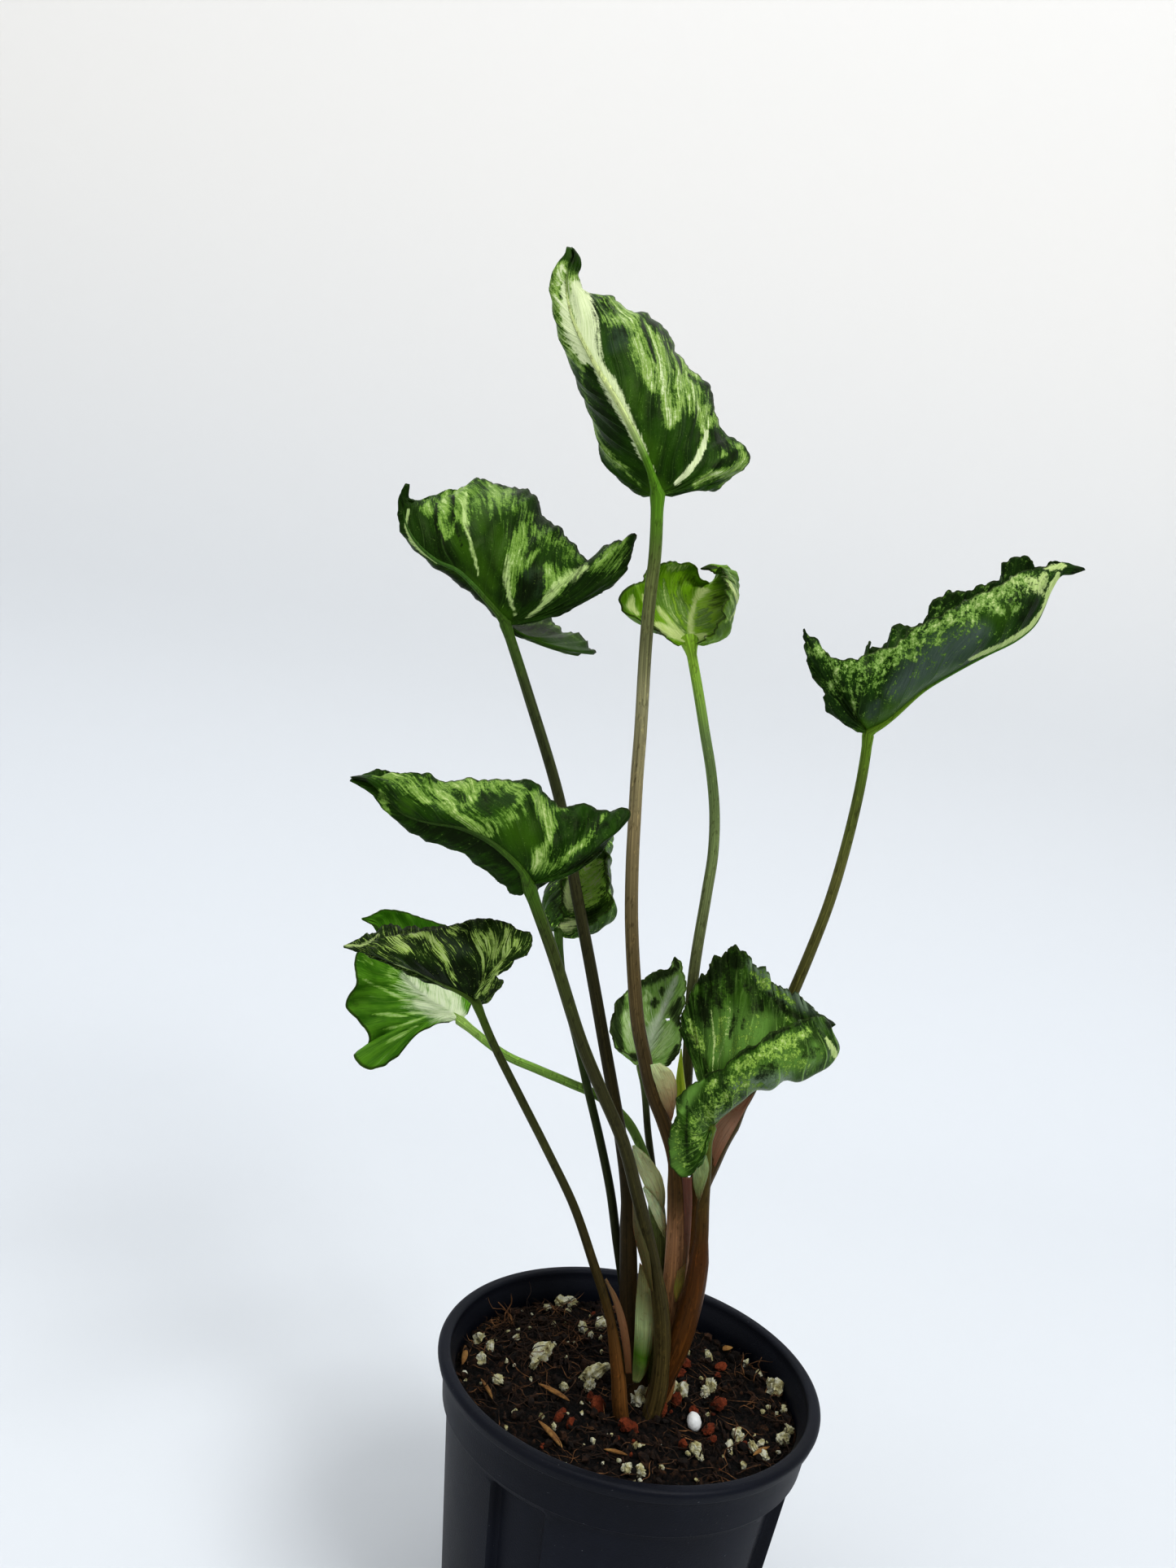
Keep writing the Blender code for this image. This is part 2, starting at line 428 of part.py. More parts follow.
def pot_profile():
    """Half section of the pot, from the inner floor's centre over the lip to the underside's centre."""
    inner_lip = RIM_RADIUS - LIP_WIDTH
    wall_inside = COLLAR_RADIUS - POT_WALL
    top = POT_HEIGHT
    floor = BASE_THICK
    return [
        (0.0, floor), (BASE_RADIUS - 9 * MM, floor), (BASE_RADIUS - POT_WALL - 1.0 * MM, floor),
        (recess_line(RECESS_BOTTOM) - POT_WALL, RECESS_BOTTOM - 1.2 * MM),
        (recess_line(RECESS_BOTTOM) - POT_WALL, RECESS_BOTTOM + 1.2 * MM),
        (recess_line(RECESS_TOP) - POT_WALL, RECESS_TOP - 1.2 * MM),
        (recess_line(RECESS_TOP) - POT_WALL, RECESS_TOP + 1.2 * MM),
        (wall_inside, top - 4.5 * MM), (inner_lip, top - 2.4 * MM), (inner_lip + 0.3 * MM, top - 0.5 * MM),
        (inner_lip + 1.0 * MM, top), (RIM_RADIUS - 1.0 * MM, top), (RIM_RADIUS, top - 1.0 * MM),
        (RIM_RADIUS - 0.5 * MM, top - BEAD_DROP + 0.5 * MM), (RIM_RADIUS - 1.6 * MM, top - BEAD_DROP),
        (COLLAR_RADIUS + 0.9 * MM, top - COLLAR_DROP + 0.4 * MM), (COLLAR_RADIUS, top - COLLAR_DROP),
        (recess_line(RECESS_TOP), RECESS_TOP), (recess_line(RECESS_TOP), RECESS_TOP - 1.2 * MM),
        (recess_line(RECESS_BOTTOM), RECESS_BOTTOM + 1.2 * MM), (recess_line(RECESS_BOTTOM), RECESS_BOTTOM),
        (BASE_RADIUS, 1.2 * MM), (BASE_RADIUS - 1.2 * MM, 0.0), (0.0, 0.0)]


def recess_line(height):
    """Outer radius of the tapering body at a height."""
    share = height / (POT_HEIGHT - COLLAR_DROP)
    return BASE_RADIUS + (COLLAR_RADIUS - 0.4 * MM - BASE_RADIUS) * share


def crowded_angle(angle):
    """Angle of a pot vertex, drawn towards the edges of the recesses so that their sides are steep."""
    pitch = math.tau / RECESS_COUNT
    step = math.tau / POT_STEPS
    turns, rest = divmod(angle - RECESS_TURN + pitch / 2, pitch)
    index = round((rest - pitch / 2) / step)
    half = RECESS_HALF_ANGLE
    edge = half + RECESS_EDGE_ANGLE
    outside = (pitch / 2 - edge) / (pitch / 2 / step - 2)
    size = abs(index)
    moved = (0.0, half, edge)[size] if size <= 2 else edge + outside * (size - 2)
    return RECESS_TURN + turns * pitch + math.copysign(moved, index), size <= 1


def nursery_pot(group, cutters):
    finish = material("black_plastic", (0.012, 0.016, 0.022), 0.45)
    mesh = frozen_mesh(turned("nursery_pot", pot_profile(), POT_STEPS, group, finish))
    low = RECESS_BOTTOM + 0.6 * MM
    high = RECESS_TOP - 0.6 * MM
    first = Matrix.Rotation(RECESS_TURN, 3, "Z")
    for vertex in mesh.vertices:
        place = first @ vertex.co
        radius = math.hypot(place.x, place.y)
        if radius < 1 * MM:
            continue
        angle, in_recess = crowded_angle(math.atan2(place.y, place.x))
        if in_recess and low < place.z < high:
            radius -= RECESS_DEPTH
        vertex.co = (radius * math.cos(angle), radius * math.sin(angle), place.z)
    shade(mesh, 30)
    pot = add_object("nursery_pot", mesh, group, None)
    for i in range(DRAIN_COUNT):
        turn = math.tau * (i + 0.5) / DRAIN_COUNT
        hole = bmesh.new()
        bmesh.ops.create_cone(hole, cap_ends=True, segments=12, radius1=DRAIN_RADIUS, radius2=DRAIN_RADIUS,
                              depth=4 * BASE_THICK)
        cutter_mesh = bpy.data.meshes.new("drain_cutter")
        hole.to_mesh(cutter_mesh)
        hole.free()
        cutter = add_object("drain_cutter", cutter_mesh, cutters, None)
        cutter.location = (DRAIN_RING * math.cos(turn), DRAIN_RING * math.sin(turn), 0)
        cutter.hide_render = True
        cutter.display_type = "WIRE"
        boolean(pot, "DIFFERENCE", object=cutter)
    return pot


def lump_mesh(place, size, seed):
    """Rough twenty-sided lump, sunk by half into the mix."""
    draw = random.Random(seed)
    bm = bmesh.new()
    bmesh.ops.create_icosphere(bm, subdivisions=1, radius=size / 2)
    for vertex in bm.verts:
        vertex.co *= draw.uniform(0.78, 1.15)
    spin = Matrix.Rotation(draw.uniform(0, math.tau), 4, "Z") @ Matrix.Rotation(draw.uniform(0, 3), 4, "X")
    squash = Matrix.Diagonal((1.0, draw.uniform(0.7, 1.0), draw.uniform(0.65, 0.9), 1.0))
    bmesh.ops.transform(bm, matrix=Matrix.Translation(place) @ spin @ squash, verts=bm.verts)
    mesh = bpy.data.meshes.new("lump")
    bm.to_mesh(mesh)
    bm.free()
    return mesh


def mix_height(x, y):
    """Relief of the mix: low swells, a bank at the back left, and crumbs."""
    relief = sum(height * noise.noise(Vector((x, y, 0.0)) * waves) for height, waves in (SWELLS, CRUMBS))
    from_bank = math.hypot(x - BANK_PLACE[0], y - BANK_PLACE[1])
    return SOIL_LEVEL + relief + BANK_HEIGHT * math.exp(-(from_bank / BANK_SPREAD) ** 2)


def potting_mix(group, cutters):
    finish = material("potting_mix", (0.045, 0.024, 0.014), 0.95)
    inner_bottom = BASE_RADIUS - POT_WALL - RECESS_DEPTH - 2.6 * MM
    inner_top = recess_line(RECESS_TOP) - POT_WALL - RECESS_DEPTH - GAP
    outer_top = COLLAR_RADIUS - POT_WALL - SOIL_EDGE_GAP
    profile = [(0.0, SOIL_LEVEL)]
    profile += [(outer_top * share, SOIL_LEVEL) for share in (0.2, 0.4, 0.56, 0.7, 0.84, 0.95)]
    profile += [(outer_top, SOIL_LEVEL - 1.5 * MM), (outer_top, RECESS_TOP + 2.0 * MM),
                (inner_top, RECESS_TOP - 0.2 * MM), (inner_bottom, BASE_THICK + GAP), (0.0, BASE_THICK + GAP)]
    mesh = frozen_mesh(turned("potting_mix", profile, SOIL_STEPS, group, finish))
    for vertex in mesh.vertices:
        if vertex.co.z > SOIL_LEVEL - 0.5 * MM:
            vertex.co.z = mix_height(vertex.co.x, vertex.co.y)
    shade(mesh)
    mix = add_object("potting_mix", mesh, group, None)
    lumps = collection("lumps")
    draw = random.Random(LUMP_SEED)
    places = [(Vector(on_mix(px, py)), size * MM) for px, py, size in PERLITE + CLAY]
    while len(places) < len(PERLITE) + len(CLAY) + SPARE_LUMPS:
        reach = 42 * MM * math.sqrt(draw.random())
        turn = draw.uniform(0, math.tau)
        place = Vector((reach * math.cos(turn), reach * math.sin(turn), 0))
        if all((place.xy - other.xy).length > 6 * MM for other, _ in places):
            places.append((place, draw.uniform(3.0, 5.0) * MM))
    for i, (place, size) in enumerate(places):
        centre = Vector(CROWN_PLACE)
        apart = place.xy - centre
        least = CROWN_RADIUS + 1.2 * MM + size / 2
        if apart.length < least:
            place.xy = centre + apart.normalized() * least
        if place.xy.length + size / 2 > outer_top - 0.8 * MM:
            place.xy = place.xy.normalized() * (outer_top - 0.8 * MM - size / 2)
        place.z = mix_height(place.x, place.y) + LUMP_RISE * size
        add_object("lump", lump_mesh(place, size, LUMP_SEED + i), lumps, None)
    boolean(mix, "UNION", operand_type="COLLECTION", collection=lumps)
    joined = frozen_mesh(mix)
    for lump in list(lumps.objects):
        bpy.data.objects.remove(lump)
    bpy.data.collections.remove(lumps)
    mix = add_object("potting_mix", joined, group, None)
    well = bmesh.new()
    bmesh.ops.create_cone(well, cap_ends=True, segments=28, radius1=CROWN_RADIUS + GAP,
                          radius2=CROWN_RADIUS + GAP, depth=2 * (CROWN_DEPTH + 2 * GAP))
    well_mesh = bpy.data.meshes.new("well_cutter")
    well.to_mesh(well_mesh)
    well.free()
    cutter = add_object("well_cutter", well_mesh, cutters, None)
    cutter.location = (*CROWN_PLACE, SOIL_LEVEL)
    cutter.hide_render = True
    cutter.display_type = "WIRE"
    boolean(mix, "DIFFERENCE", object=cutter)
    return mix


def stalk_line(stalk):
    """Even points from the root, drawn in below the mix, up to just under the blade."""
    way = [spot(*point) for point in stalk["way"]]
    centre = np.array(CROWN_PLACE)
    root = way[0].copy()
    root[:2] = centre + (root[:2] - centre) * ROOT_DRAW
    root[2] = SOIL_LEVEL - ROOT_DROP
    return smooth_curve([root] + way, CURVE_POINTS)


def tube(name, line, radii, group, finish):
    """Capped tube along a line, with the radii spread evenly over its length."""
    curve = bpy.data.curves.new(name, "CURVE")
    curve.dimensions = "3D"
    curve.bevel_depth = 1.0
    curve.bevel_resolution = 2
    curve.use_fill_caps = True
    spline = curve.splines.new("POLY")
    spline.points.add(len(line) - 1)
    shares = np.linspace(0, 1, len(line))
    spread = np.interp(shares, np.linspace(0, 1, len(radii)), radii)
    for i, point in enumerate(line):
        spline.points[i].co = (*point, 1.0)
        spline.points[i].radius = float(spread[i]) * MM
    return add_object(name, curve, group, finish)


def sheath_clump(group):
    """Stem base and the lower sheaths of all stalks, grown together."""
    finish = material("sheath_skin", (0.20, 0.12, 0.06), 0.45)
    pieces = collection("sheaths")
    for name, stalk in STALKS.items():
        line = stalk_line(stalk)
        share = stalk["sheath"] * MM / length_of(line)
        points = [along(line, share * i / (SHEATH_POINTS - 1)) for i in range(SHEATH_POINTS)]
        whole = tube(name, points, stalk["radii"][:3], pieces, None)
        add_object(name, frozen_mesh(whole), pieces, None)
    top = SOIL_LEVEL - 0.2 * MM
    profile = [(0.0, top + 1.6 * MM), (CROWN_RADIUS * 0.6, top + 1.2 * MM), (CROWN_RADIUS * 0.92, top),
               (CROWN_RADIUS, top - 1.5 * MM), (CROWN_RADIUS * 0.8, top - CROWN_DEPTH * 0.7),
               (CROWN_RADIUS * 0.4, top - CROWN_DEPTH), (0.0, top - CROWN_DEPTH)]
    mesh = frozen_mesh(turned("sheath_clump", profile, CROWN_STEPS, group, finish))
    mesh.transform(Matrix.Translation((*CROWN_PLACE, 0)))
    clump = add_object("sheath_clump", mesh, group, None)
    boolean(clump, "UNION", operand_type="COLLECTION", collection=pieces)
    joined = frozen_mesh(clump)
    for piece in list(pieces.objects):
        bpy.data.objects.remove(piece)
    bpy.data.collections.remove(pieces)
    shade(joined, 50)
    return add_object("sheath_clump", joined, group, None)


def stalk_end(line, run, radius, leaf):
    """Length of a stalk up to where its tip is a gap away from its blade."""
    skin = BVHTree.FromObject(leaf, bpy.context.evaluated_depsgraph_get())
    length = run
    while length > 0:
        tip = Vector(along(line, length / run))
        shoulder = Vector(along(line, (length - STALK_TIP_LENGTH) / run))
        tip_clear = skin.find_nearest(tip)[3] > STALK_TIP_RADIUS + GAP
        if tip_clear and skin.find_nearest(shoulder)[3] > radius + GAP:
            break
        length -= 0.1 * MM
    return length


def petiole(name, stalk, leaf, group):
    """Stalk above its sheath, with a short taper where it meets the blade."""
    finish = material("stalk_" + name, stalk["colour"], 0.4)
    line = stalk_line(stalk)
    run = length_of(line)
    above, middle, top = stalk["radii"][3:]
    end = stalk_end(line, run, top * MM, leaf)
    low = stalk["sheath"] * MM + GAP + 0.12 * above * MM
    high = end - STALK_TIP_LENGTH
    lengths = [low + (high - low) * i / (STALK_POINTS - 2) for i in range(STALK_POINTS - 1)]
    radii = [float(np.interp(length, (low, (low + high) / 2, high), (above, middle, top))) for length in lengths]
    points = [along(line, length / run) for length in lengths + [end]]
    return tube("petiole_" + name, points, radii + [STALK_TIP_RADIUS / MM], group, finish)


def blade_point(leaf, curves, share, side, reach):
    """Point of a half blade: share runs along its margin, reach from the midrib out to the margin."""
    margin = along(curves[side], share)
    inner_share = max(0.0, (share - leaf["fan"]) / (1 - leaf["fan"])) ** 1.15
    inner = along(curves["midrib"], inner_share)
    stations = leaf["puff_" + side]
    shares = [station[0] for station in stations]
    right, down, near = (np.interp(share, shares, [station[k] for station in stations]) for k in (1, 2, 3))
    scale = RIM_SEEN[2] / FOCAL_PIXELS
    lift = right * scale * VIEW_RIGHT + down * scale * VIEW_DOWN - near * MM * VIEW_AWAY
    control = (inner + margin) / 2 + 2 * lift
    point = (1 - reach) ** 2 * inner + 2 * reach * (1 - reach) * control + reach ** 2 * margin
    rib = margin - inner
    ahead = along(curves[side], share + 0.01) - along(curves[side], share - 0.01)
    across = np.cross(rib, ahead)
    across /= max(np.linalg.norm(across), 1e-9)
    calm = min(1.0, share / 0.08, (1 - share) / 0.08)
    seed = leaf["seed"] + (side == "left")
    wave = ripple(share, leaf["frills"], seed) * leaf["frill"] * MM * calm
    return point + across * wave * reach ** 3


def blade(name, leaf, group):
    """Thin waved blade: a grid whose columns run round the margins and whose rows run out from the midrib."""
    finish = material("blade_" + name, leaf["colour"], 0.35)
    curves = {"midrib": smooth_curve([spot(*point) for point in leaf["midrib"]], CURVE_POINTS)}
    for side in ("left", "right"):
        margin = leaf[side] + leaf["midrib"][-1:]
        curves[side] = smooth_curve([spot(*point) for point in margin], CURVE_POINTS)
    bm = bmesh.new()
    rows, columns = (SMALL_ROWS, SMALL_COLUMNS) if "small" in leaf else (BLADE_ROWS, BLADE_COLUMNS)
    bmesh.ops.create_grid(bm, x_segments=2 * rows, y_segments=columns, size=0.5)
    for vertex in bm.verts:
        side = "left" if vertex.co.x < 0 else "right"
        reach = min(1.0, abs(2 * vertex.co.x))
        vertex.co = blade_point(leaf, curves, vertex.co.y + 0.5, side, reach)
    bmesh.ops.remove_doubles(bm, verts=bm.verts, dist=0.00005)
    bmesh.ops.triangulate(bm, faces=bm.faces)
    mesh = bpy.data.meshes.new("blade_" + name)
    bm.to_mesh(mesh)
    bm.free()
    mesh.shade_smooth()
    thing = add_object("blade_" + name, mesh, group, finish)
    wall = thing.modifiers.new("thickness", "SOLIDIFY")
    wall.thickness = BLADE_THICKNESS
    wall.offset = 0.0
    wall.use_rim = True
    return thing


def spear_leaf(group):
    finish = material("spear_leaf", SPEAR_COLOUR, 0.4)
    line = smooth_curve([spot(*point) for point in SPEAR_WAY], 9)
    return tube("spear_leaf", line, SPEAR_RADII, group, finish)


def main():
    for old in list(bpy.data.objects):
        bpy.data.objects.remove(old)
    bpy.context.scene.unit_settings.length_unit = "MILLIMETERS"
    group = collection("potted_curled_arum")
    cutters = collection("cutters")
    nursery_pot(group, cutters)
    potting_mix(group, cutters)
    sheath_clump(group)
    blades = {name: blade(name, leaf, group) for name, leaf in BLADES.items()}
    bpy.context.view_layer.update()
    for name, stalk in STALKS.items():
        petiole(name, stalk, blades[name], group)
    spear_leaf(group)


if __name__ == "__main__":
    main()
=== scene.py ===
import math
import random

import bmesh
import bpy
import numpy as np
from mathutils import Matrix, Vector, noise


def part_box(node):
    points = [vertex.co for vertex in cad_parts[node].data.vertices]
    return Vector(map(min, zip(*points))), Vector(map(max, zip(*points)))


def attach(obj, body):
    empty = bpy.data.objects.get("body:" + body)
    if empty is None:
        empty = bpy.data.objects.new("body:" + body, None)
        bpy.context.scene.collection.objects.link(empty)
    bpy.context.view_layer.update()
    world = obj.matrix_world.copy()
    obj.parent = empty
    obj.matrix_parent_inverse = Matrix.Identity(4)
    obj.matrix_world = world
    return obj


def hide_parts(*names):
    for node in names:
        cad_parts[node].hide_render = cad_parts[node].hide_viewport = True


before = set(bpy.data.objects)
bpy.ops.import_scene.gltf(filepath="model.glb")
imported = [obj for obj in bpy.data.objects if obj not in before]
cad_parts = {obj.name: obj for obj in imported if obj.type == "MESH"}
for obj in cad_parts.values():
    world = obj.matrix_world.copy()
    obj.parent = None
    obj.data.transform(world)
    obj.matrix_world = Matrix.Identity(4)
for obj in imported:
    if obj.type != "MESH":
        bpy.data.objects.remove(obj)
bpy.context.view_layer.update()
print("frame loaded:", len(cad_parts), "nodes")

mm = 0.001
nodeBoxes = {name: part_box(name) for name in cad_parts}
potTop = nodeBoxes["nursery_pot"][1].z
rimRadius = max(nodeBoxes["nursery_pot"][1].xy)
mixLevel = potTop - 9 * mm

# the photograph's view: its frame in pixels, and where its eye sees the middle of the pot's rim
photoView = {"width": 1445, "height": 1927, "focal": 1449.0, "dip": 4.1, "roll": 9.3,
             "rimSeen": (11.3, 158.2, 323.0)}


def viewAxes():
    dip, roll = math.radians(photoView["dip"]), math.radians(photoView["roll"])
    right = np.array([math.cos(roll), math.sin(roll) * math.sin(dip), math.sin(roll) * math.cos(dip)])
    down = np.array([math.sin(roll), -math.sin(dip) * math.cos(roll), -math.cos(dip) * math.cos(roll)])
    away = np.array([0.0, math.cos(dip), -math.sin(dip)])
    return right, down, away


viewRight, viewDown, viewAway = viewAxes()
rimDepth = photoView["rimSeen"][2] * mm
eye = np.array([0.0, 0.0, potTop]) - (photoView["rimSeen"][0] * viewRight + photoView["rimSeen"][1] * viewDown
                                      + photoView["rimSeen"][2] * viewAway) * mm


def spot(px, py, near):  # the point behind a pixel, so many mm nearer than the rim's middle
    across = (px - photoView["width"] / 2) / photoView["focal"]
    below = (py - photoView["height"] / 2) / photoView["focal"]
    return eye + (rimDepth - near * mm) * (across * viewRight + below * viewDown + viewAway)


def pixelsOf(points):  # where the photograph shows these points
    seen = np.asarray(points) - eye
    depth = seen @ viewAway
    return np.stack([seen @ viewRight / depth * photoView["focal"] + photoView["width"] / 2,
                     seen @ viewDown / depth * photoView["focal"] + photoView["height"] / 2], axis=1)


def smoothCurve(points, count):  # centripetal Catmull-Rom through the points, evenly spaced
    given = np.asarray(points, float)
    ends = np.vstack([2 * given[0] - given[1], given, 2 * given[-1] - given[-2]])
    knots = np.concatenate([[0.0], np.cumsum(np.linalg.norm(np.diff(ends, axis=0), axis=1) ** 0.5)])
    dense = []
    for i in range(1, len(ends) - 2):
        k0, k1, k2, k3 = knots[i - 1:i + 3]
        p0, p1, p2, p3 = ends[i - 1:i + 3]
        at = np.linspace(k1, k2, 16, endpoint=False)[:, None]
        a1 = (k1 - at) / (k1 - k0) * p0 + (at - k0) / (k1 - k0) * p1
        a2 = (k2 - at) / (k2 - k1) * p1 + (at - k1) / (k2 - k1) * p2
        a3 = (k3 - at) / (k3 - k2) * p2 + (at - k2) / (k3 - k2) * p3
        b1 = (k2 - at) / (k2 - k0) * a1 + (at - k0) / (k2 - k0) * a2
        b2 = (k3 - at) / (k3 - k1) * a2 + (at - k1) / (k3 - k1) * a3
        dense.append((k2 - at) / (k2 - k1) * b1 + (at - k1) / (k2 - k1) * b2)
    dense = np.vstack(dense + [given[-1:]])
    run = np.concatenate([[0.0], np.cumsum(np.linalg.norm(np.diff(dense, axis=0), axis=1))])
    evenly = np.linspace(0, run[-1], count)
    return np.stack([np.interp(evenly, run, dense[:, k]) for k in range(3)], axis=1)


def along(curve, shares):
    at = np.clip(shares, 0, 1) * (len(curve) - 1)
    low = np.minimum(at.astype(int), len(curve) - 2)
    return curve[low] + (curve[low + 1] - curve[low]) * (at - low)[:, None]


def ripple(share, count, seed):  # uneven wave along a margin, about -1 to 1
    turns = random.Random(seed)
    wave = np.zeros_like(share)
    for strength, pace in ((0.55, 1.0), (0.30, 1.7), (0.25, 0.53), (0.15, 2.9)):
        wave += strength * np.sin(math.tau * count * pace * share + turns.uniform(0, math.tau))
    return wave


def smoothStep(low, high, value):
    t = np.clip((value - low) / (high - low), 0, 1)
    return t * t * (3 - 2 * t)


def meshPiece(name, bm, smooth=True):  # mesh object at the origin
    mesh = bpy.data.meshes.new(name)
    bm.to_mesh(mesh)
    bm.free()
    if smooth:
        mesh.shade_smooth()
    piece = bpy.data.objects.new(name, mesh)
    bpy.context.scene.collection.objects.link(piece)
    return piece


def finishPiece(name, bm, material, slot, *nodes):  # it rides on the root and takes the nodes' place
    piece = meshPiece(name, bm)
    piece.data.materials.append(material)
    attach(piece, "root")
    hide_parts(*nodes)
    return piece


def giveWall(piece, thickness):  # half of it to each side of the skin
    wall = piece.modifiers.new("thickness", "SOLIDIFY")
    wall.thickness = thickness
    wall.offset = 0.0
    wall.use_rim = True


def gridVerts(bm, columns, rows):  # a new grid's vertices with their x and y from 0 to 1
    verts = bmesh.ops.create_grid(bm, x_segments=columns, y_segments=rows, size=0.5, calc_uvs=True)["verts"]
    places = np.array([v.co[:2] for v in verts]) + 0.5
    return verts, places[:, 0], places[:, 1]


def moveVerts(verts, points):
    for vert, point in zip(verts, points):
        vert.co = point


# shader helpers

def startMaterial(name):
    made = bpy.data.materials.new(name)
    made.use_nodes = True
    return made, made.node_tree, made.node_tree.nodes["Principled BSDF"]


def addNode(tree, kind, inputs=None, **settings):
    node = tree.nodes.new(kind)
    for key, value in settings.items():
        setattr(node, key, value)
    for key, value in (inputs or {}).items():
        if isinstance(value, bpy.types.NodeSocket):
            tree.links.new(value, node.inputs[key])
        else:
            node.inputs[key].default_value = value
    return node


def coordOf(tree, kind):
    return addNode(tree, "ShaderNodeTexCoord").outputs[kind]


def attributeOf(tree, name):
    return addNode(tree, "ShaderNodeAttribute", attribute_name=name).outputs


def scaled(tree, source, scale, place=(0, 0, 0)):
    return addNode(tree, "ShaderNodeMapping",
                   {"Vector": source, "Scale": scale, "Location": place}).outputs[0]


def noiseOf(tree, source, scale, detail=4.0, rough=0.55, twist=0.0):
    return addNode(tree, "ShaderNodeTexNoise", {"Vector": source, "Scale": scale, "Detail": detail,
                                                "Roughness": rough, "Distortion": twist}).outputs["Fac"]


def mathOf(tree, kind, *values):
    return addNode(tree, "ShaderNodeMath", dict(enumerate(values)), operation=kind).outputs[0]


def times(tree, first, second):
    return mathOf(tree, "MULTIPLY", first, second)


def plus(tree, first, second):
    return mathOf(tree, "ADD", first, second)


def rangeOf(tree, value, low, high, bottom, top):
    return addNode(tree, "ShaderNodeMapRange", {"Value": value, "From Min": low, "From Max": high,
                                                "To Min": bottom, "To Max": top}).outputs[0]


def threshold(tree, value, low, high, top=1.0):
    return addNode(tree, "ShaderNodeMapRange", {"Value": value, "From Min": low, "From Max": high,
                                                "To Max": top}, interpolation_type="SMOOTHSTEP").outputs[0]


def blendColours(tree, share, first, second, kind="MIX"):
    node = addNode(tree, "ShaderNodeMix", data_type="RGBA", blend_type=kind)
    for key, value in ((0, share), (6, first), (7, second)):
        if isinstance(value, bpy.types.NodeSocket):
            tree.links.new(value, node.inputs[key])
        else:
            node.inputs[key].default_value = value if key == 0 else (*value, 1.0)
    return node.outputs[2]


def tinted(tree, share, colour, tint):
    return blendColours(tree, share, colour, tint, "MULTIPLY")


def rampOf(tree, value, stops):
    node = addNode(tree, "ShaderNodeValToRGB", {"Fac": value})
    elements = node.color_ramp.elements
    elements[0].position, elements[1].position = stops[0][0], stops[-1][0]
    for place, _ in stops[1:-1]:
        elements.new(place)
    for element, (_, colour) in zip(elements, stops):
        element.color = (*colour, 1.0)
    return node.outputs["Color"]


def bumpOf(tree, height, strength, distance):
    return addNode(tree, "ShaderNodeBump", {"Height": height, "Strength": strength,
                                            "Distance": distance}).outputs["Normal"]


def setShader(tree, shader, **values):
    for key, value in values.items():
        socket = shader.inputs[key.replace("_", " ")]
        if isinstance(value, bpy.types.NodeSocket):
            tree.links.new(value, socket)
        elif isinstance(value, tuple):
            socket.default_value = (*value, 1.0) if len(value) == 3 else value
        else:
            socket.default_value = value


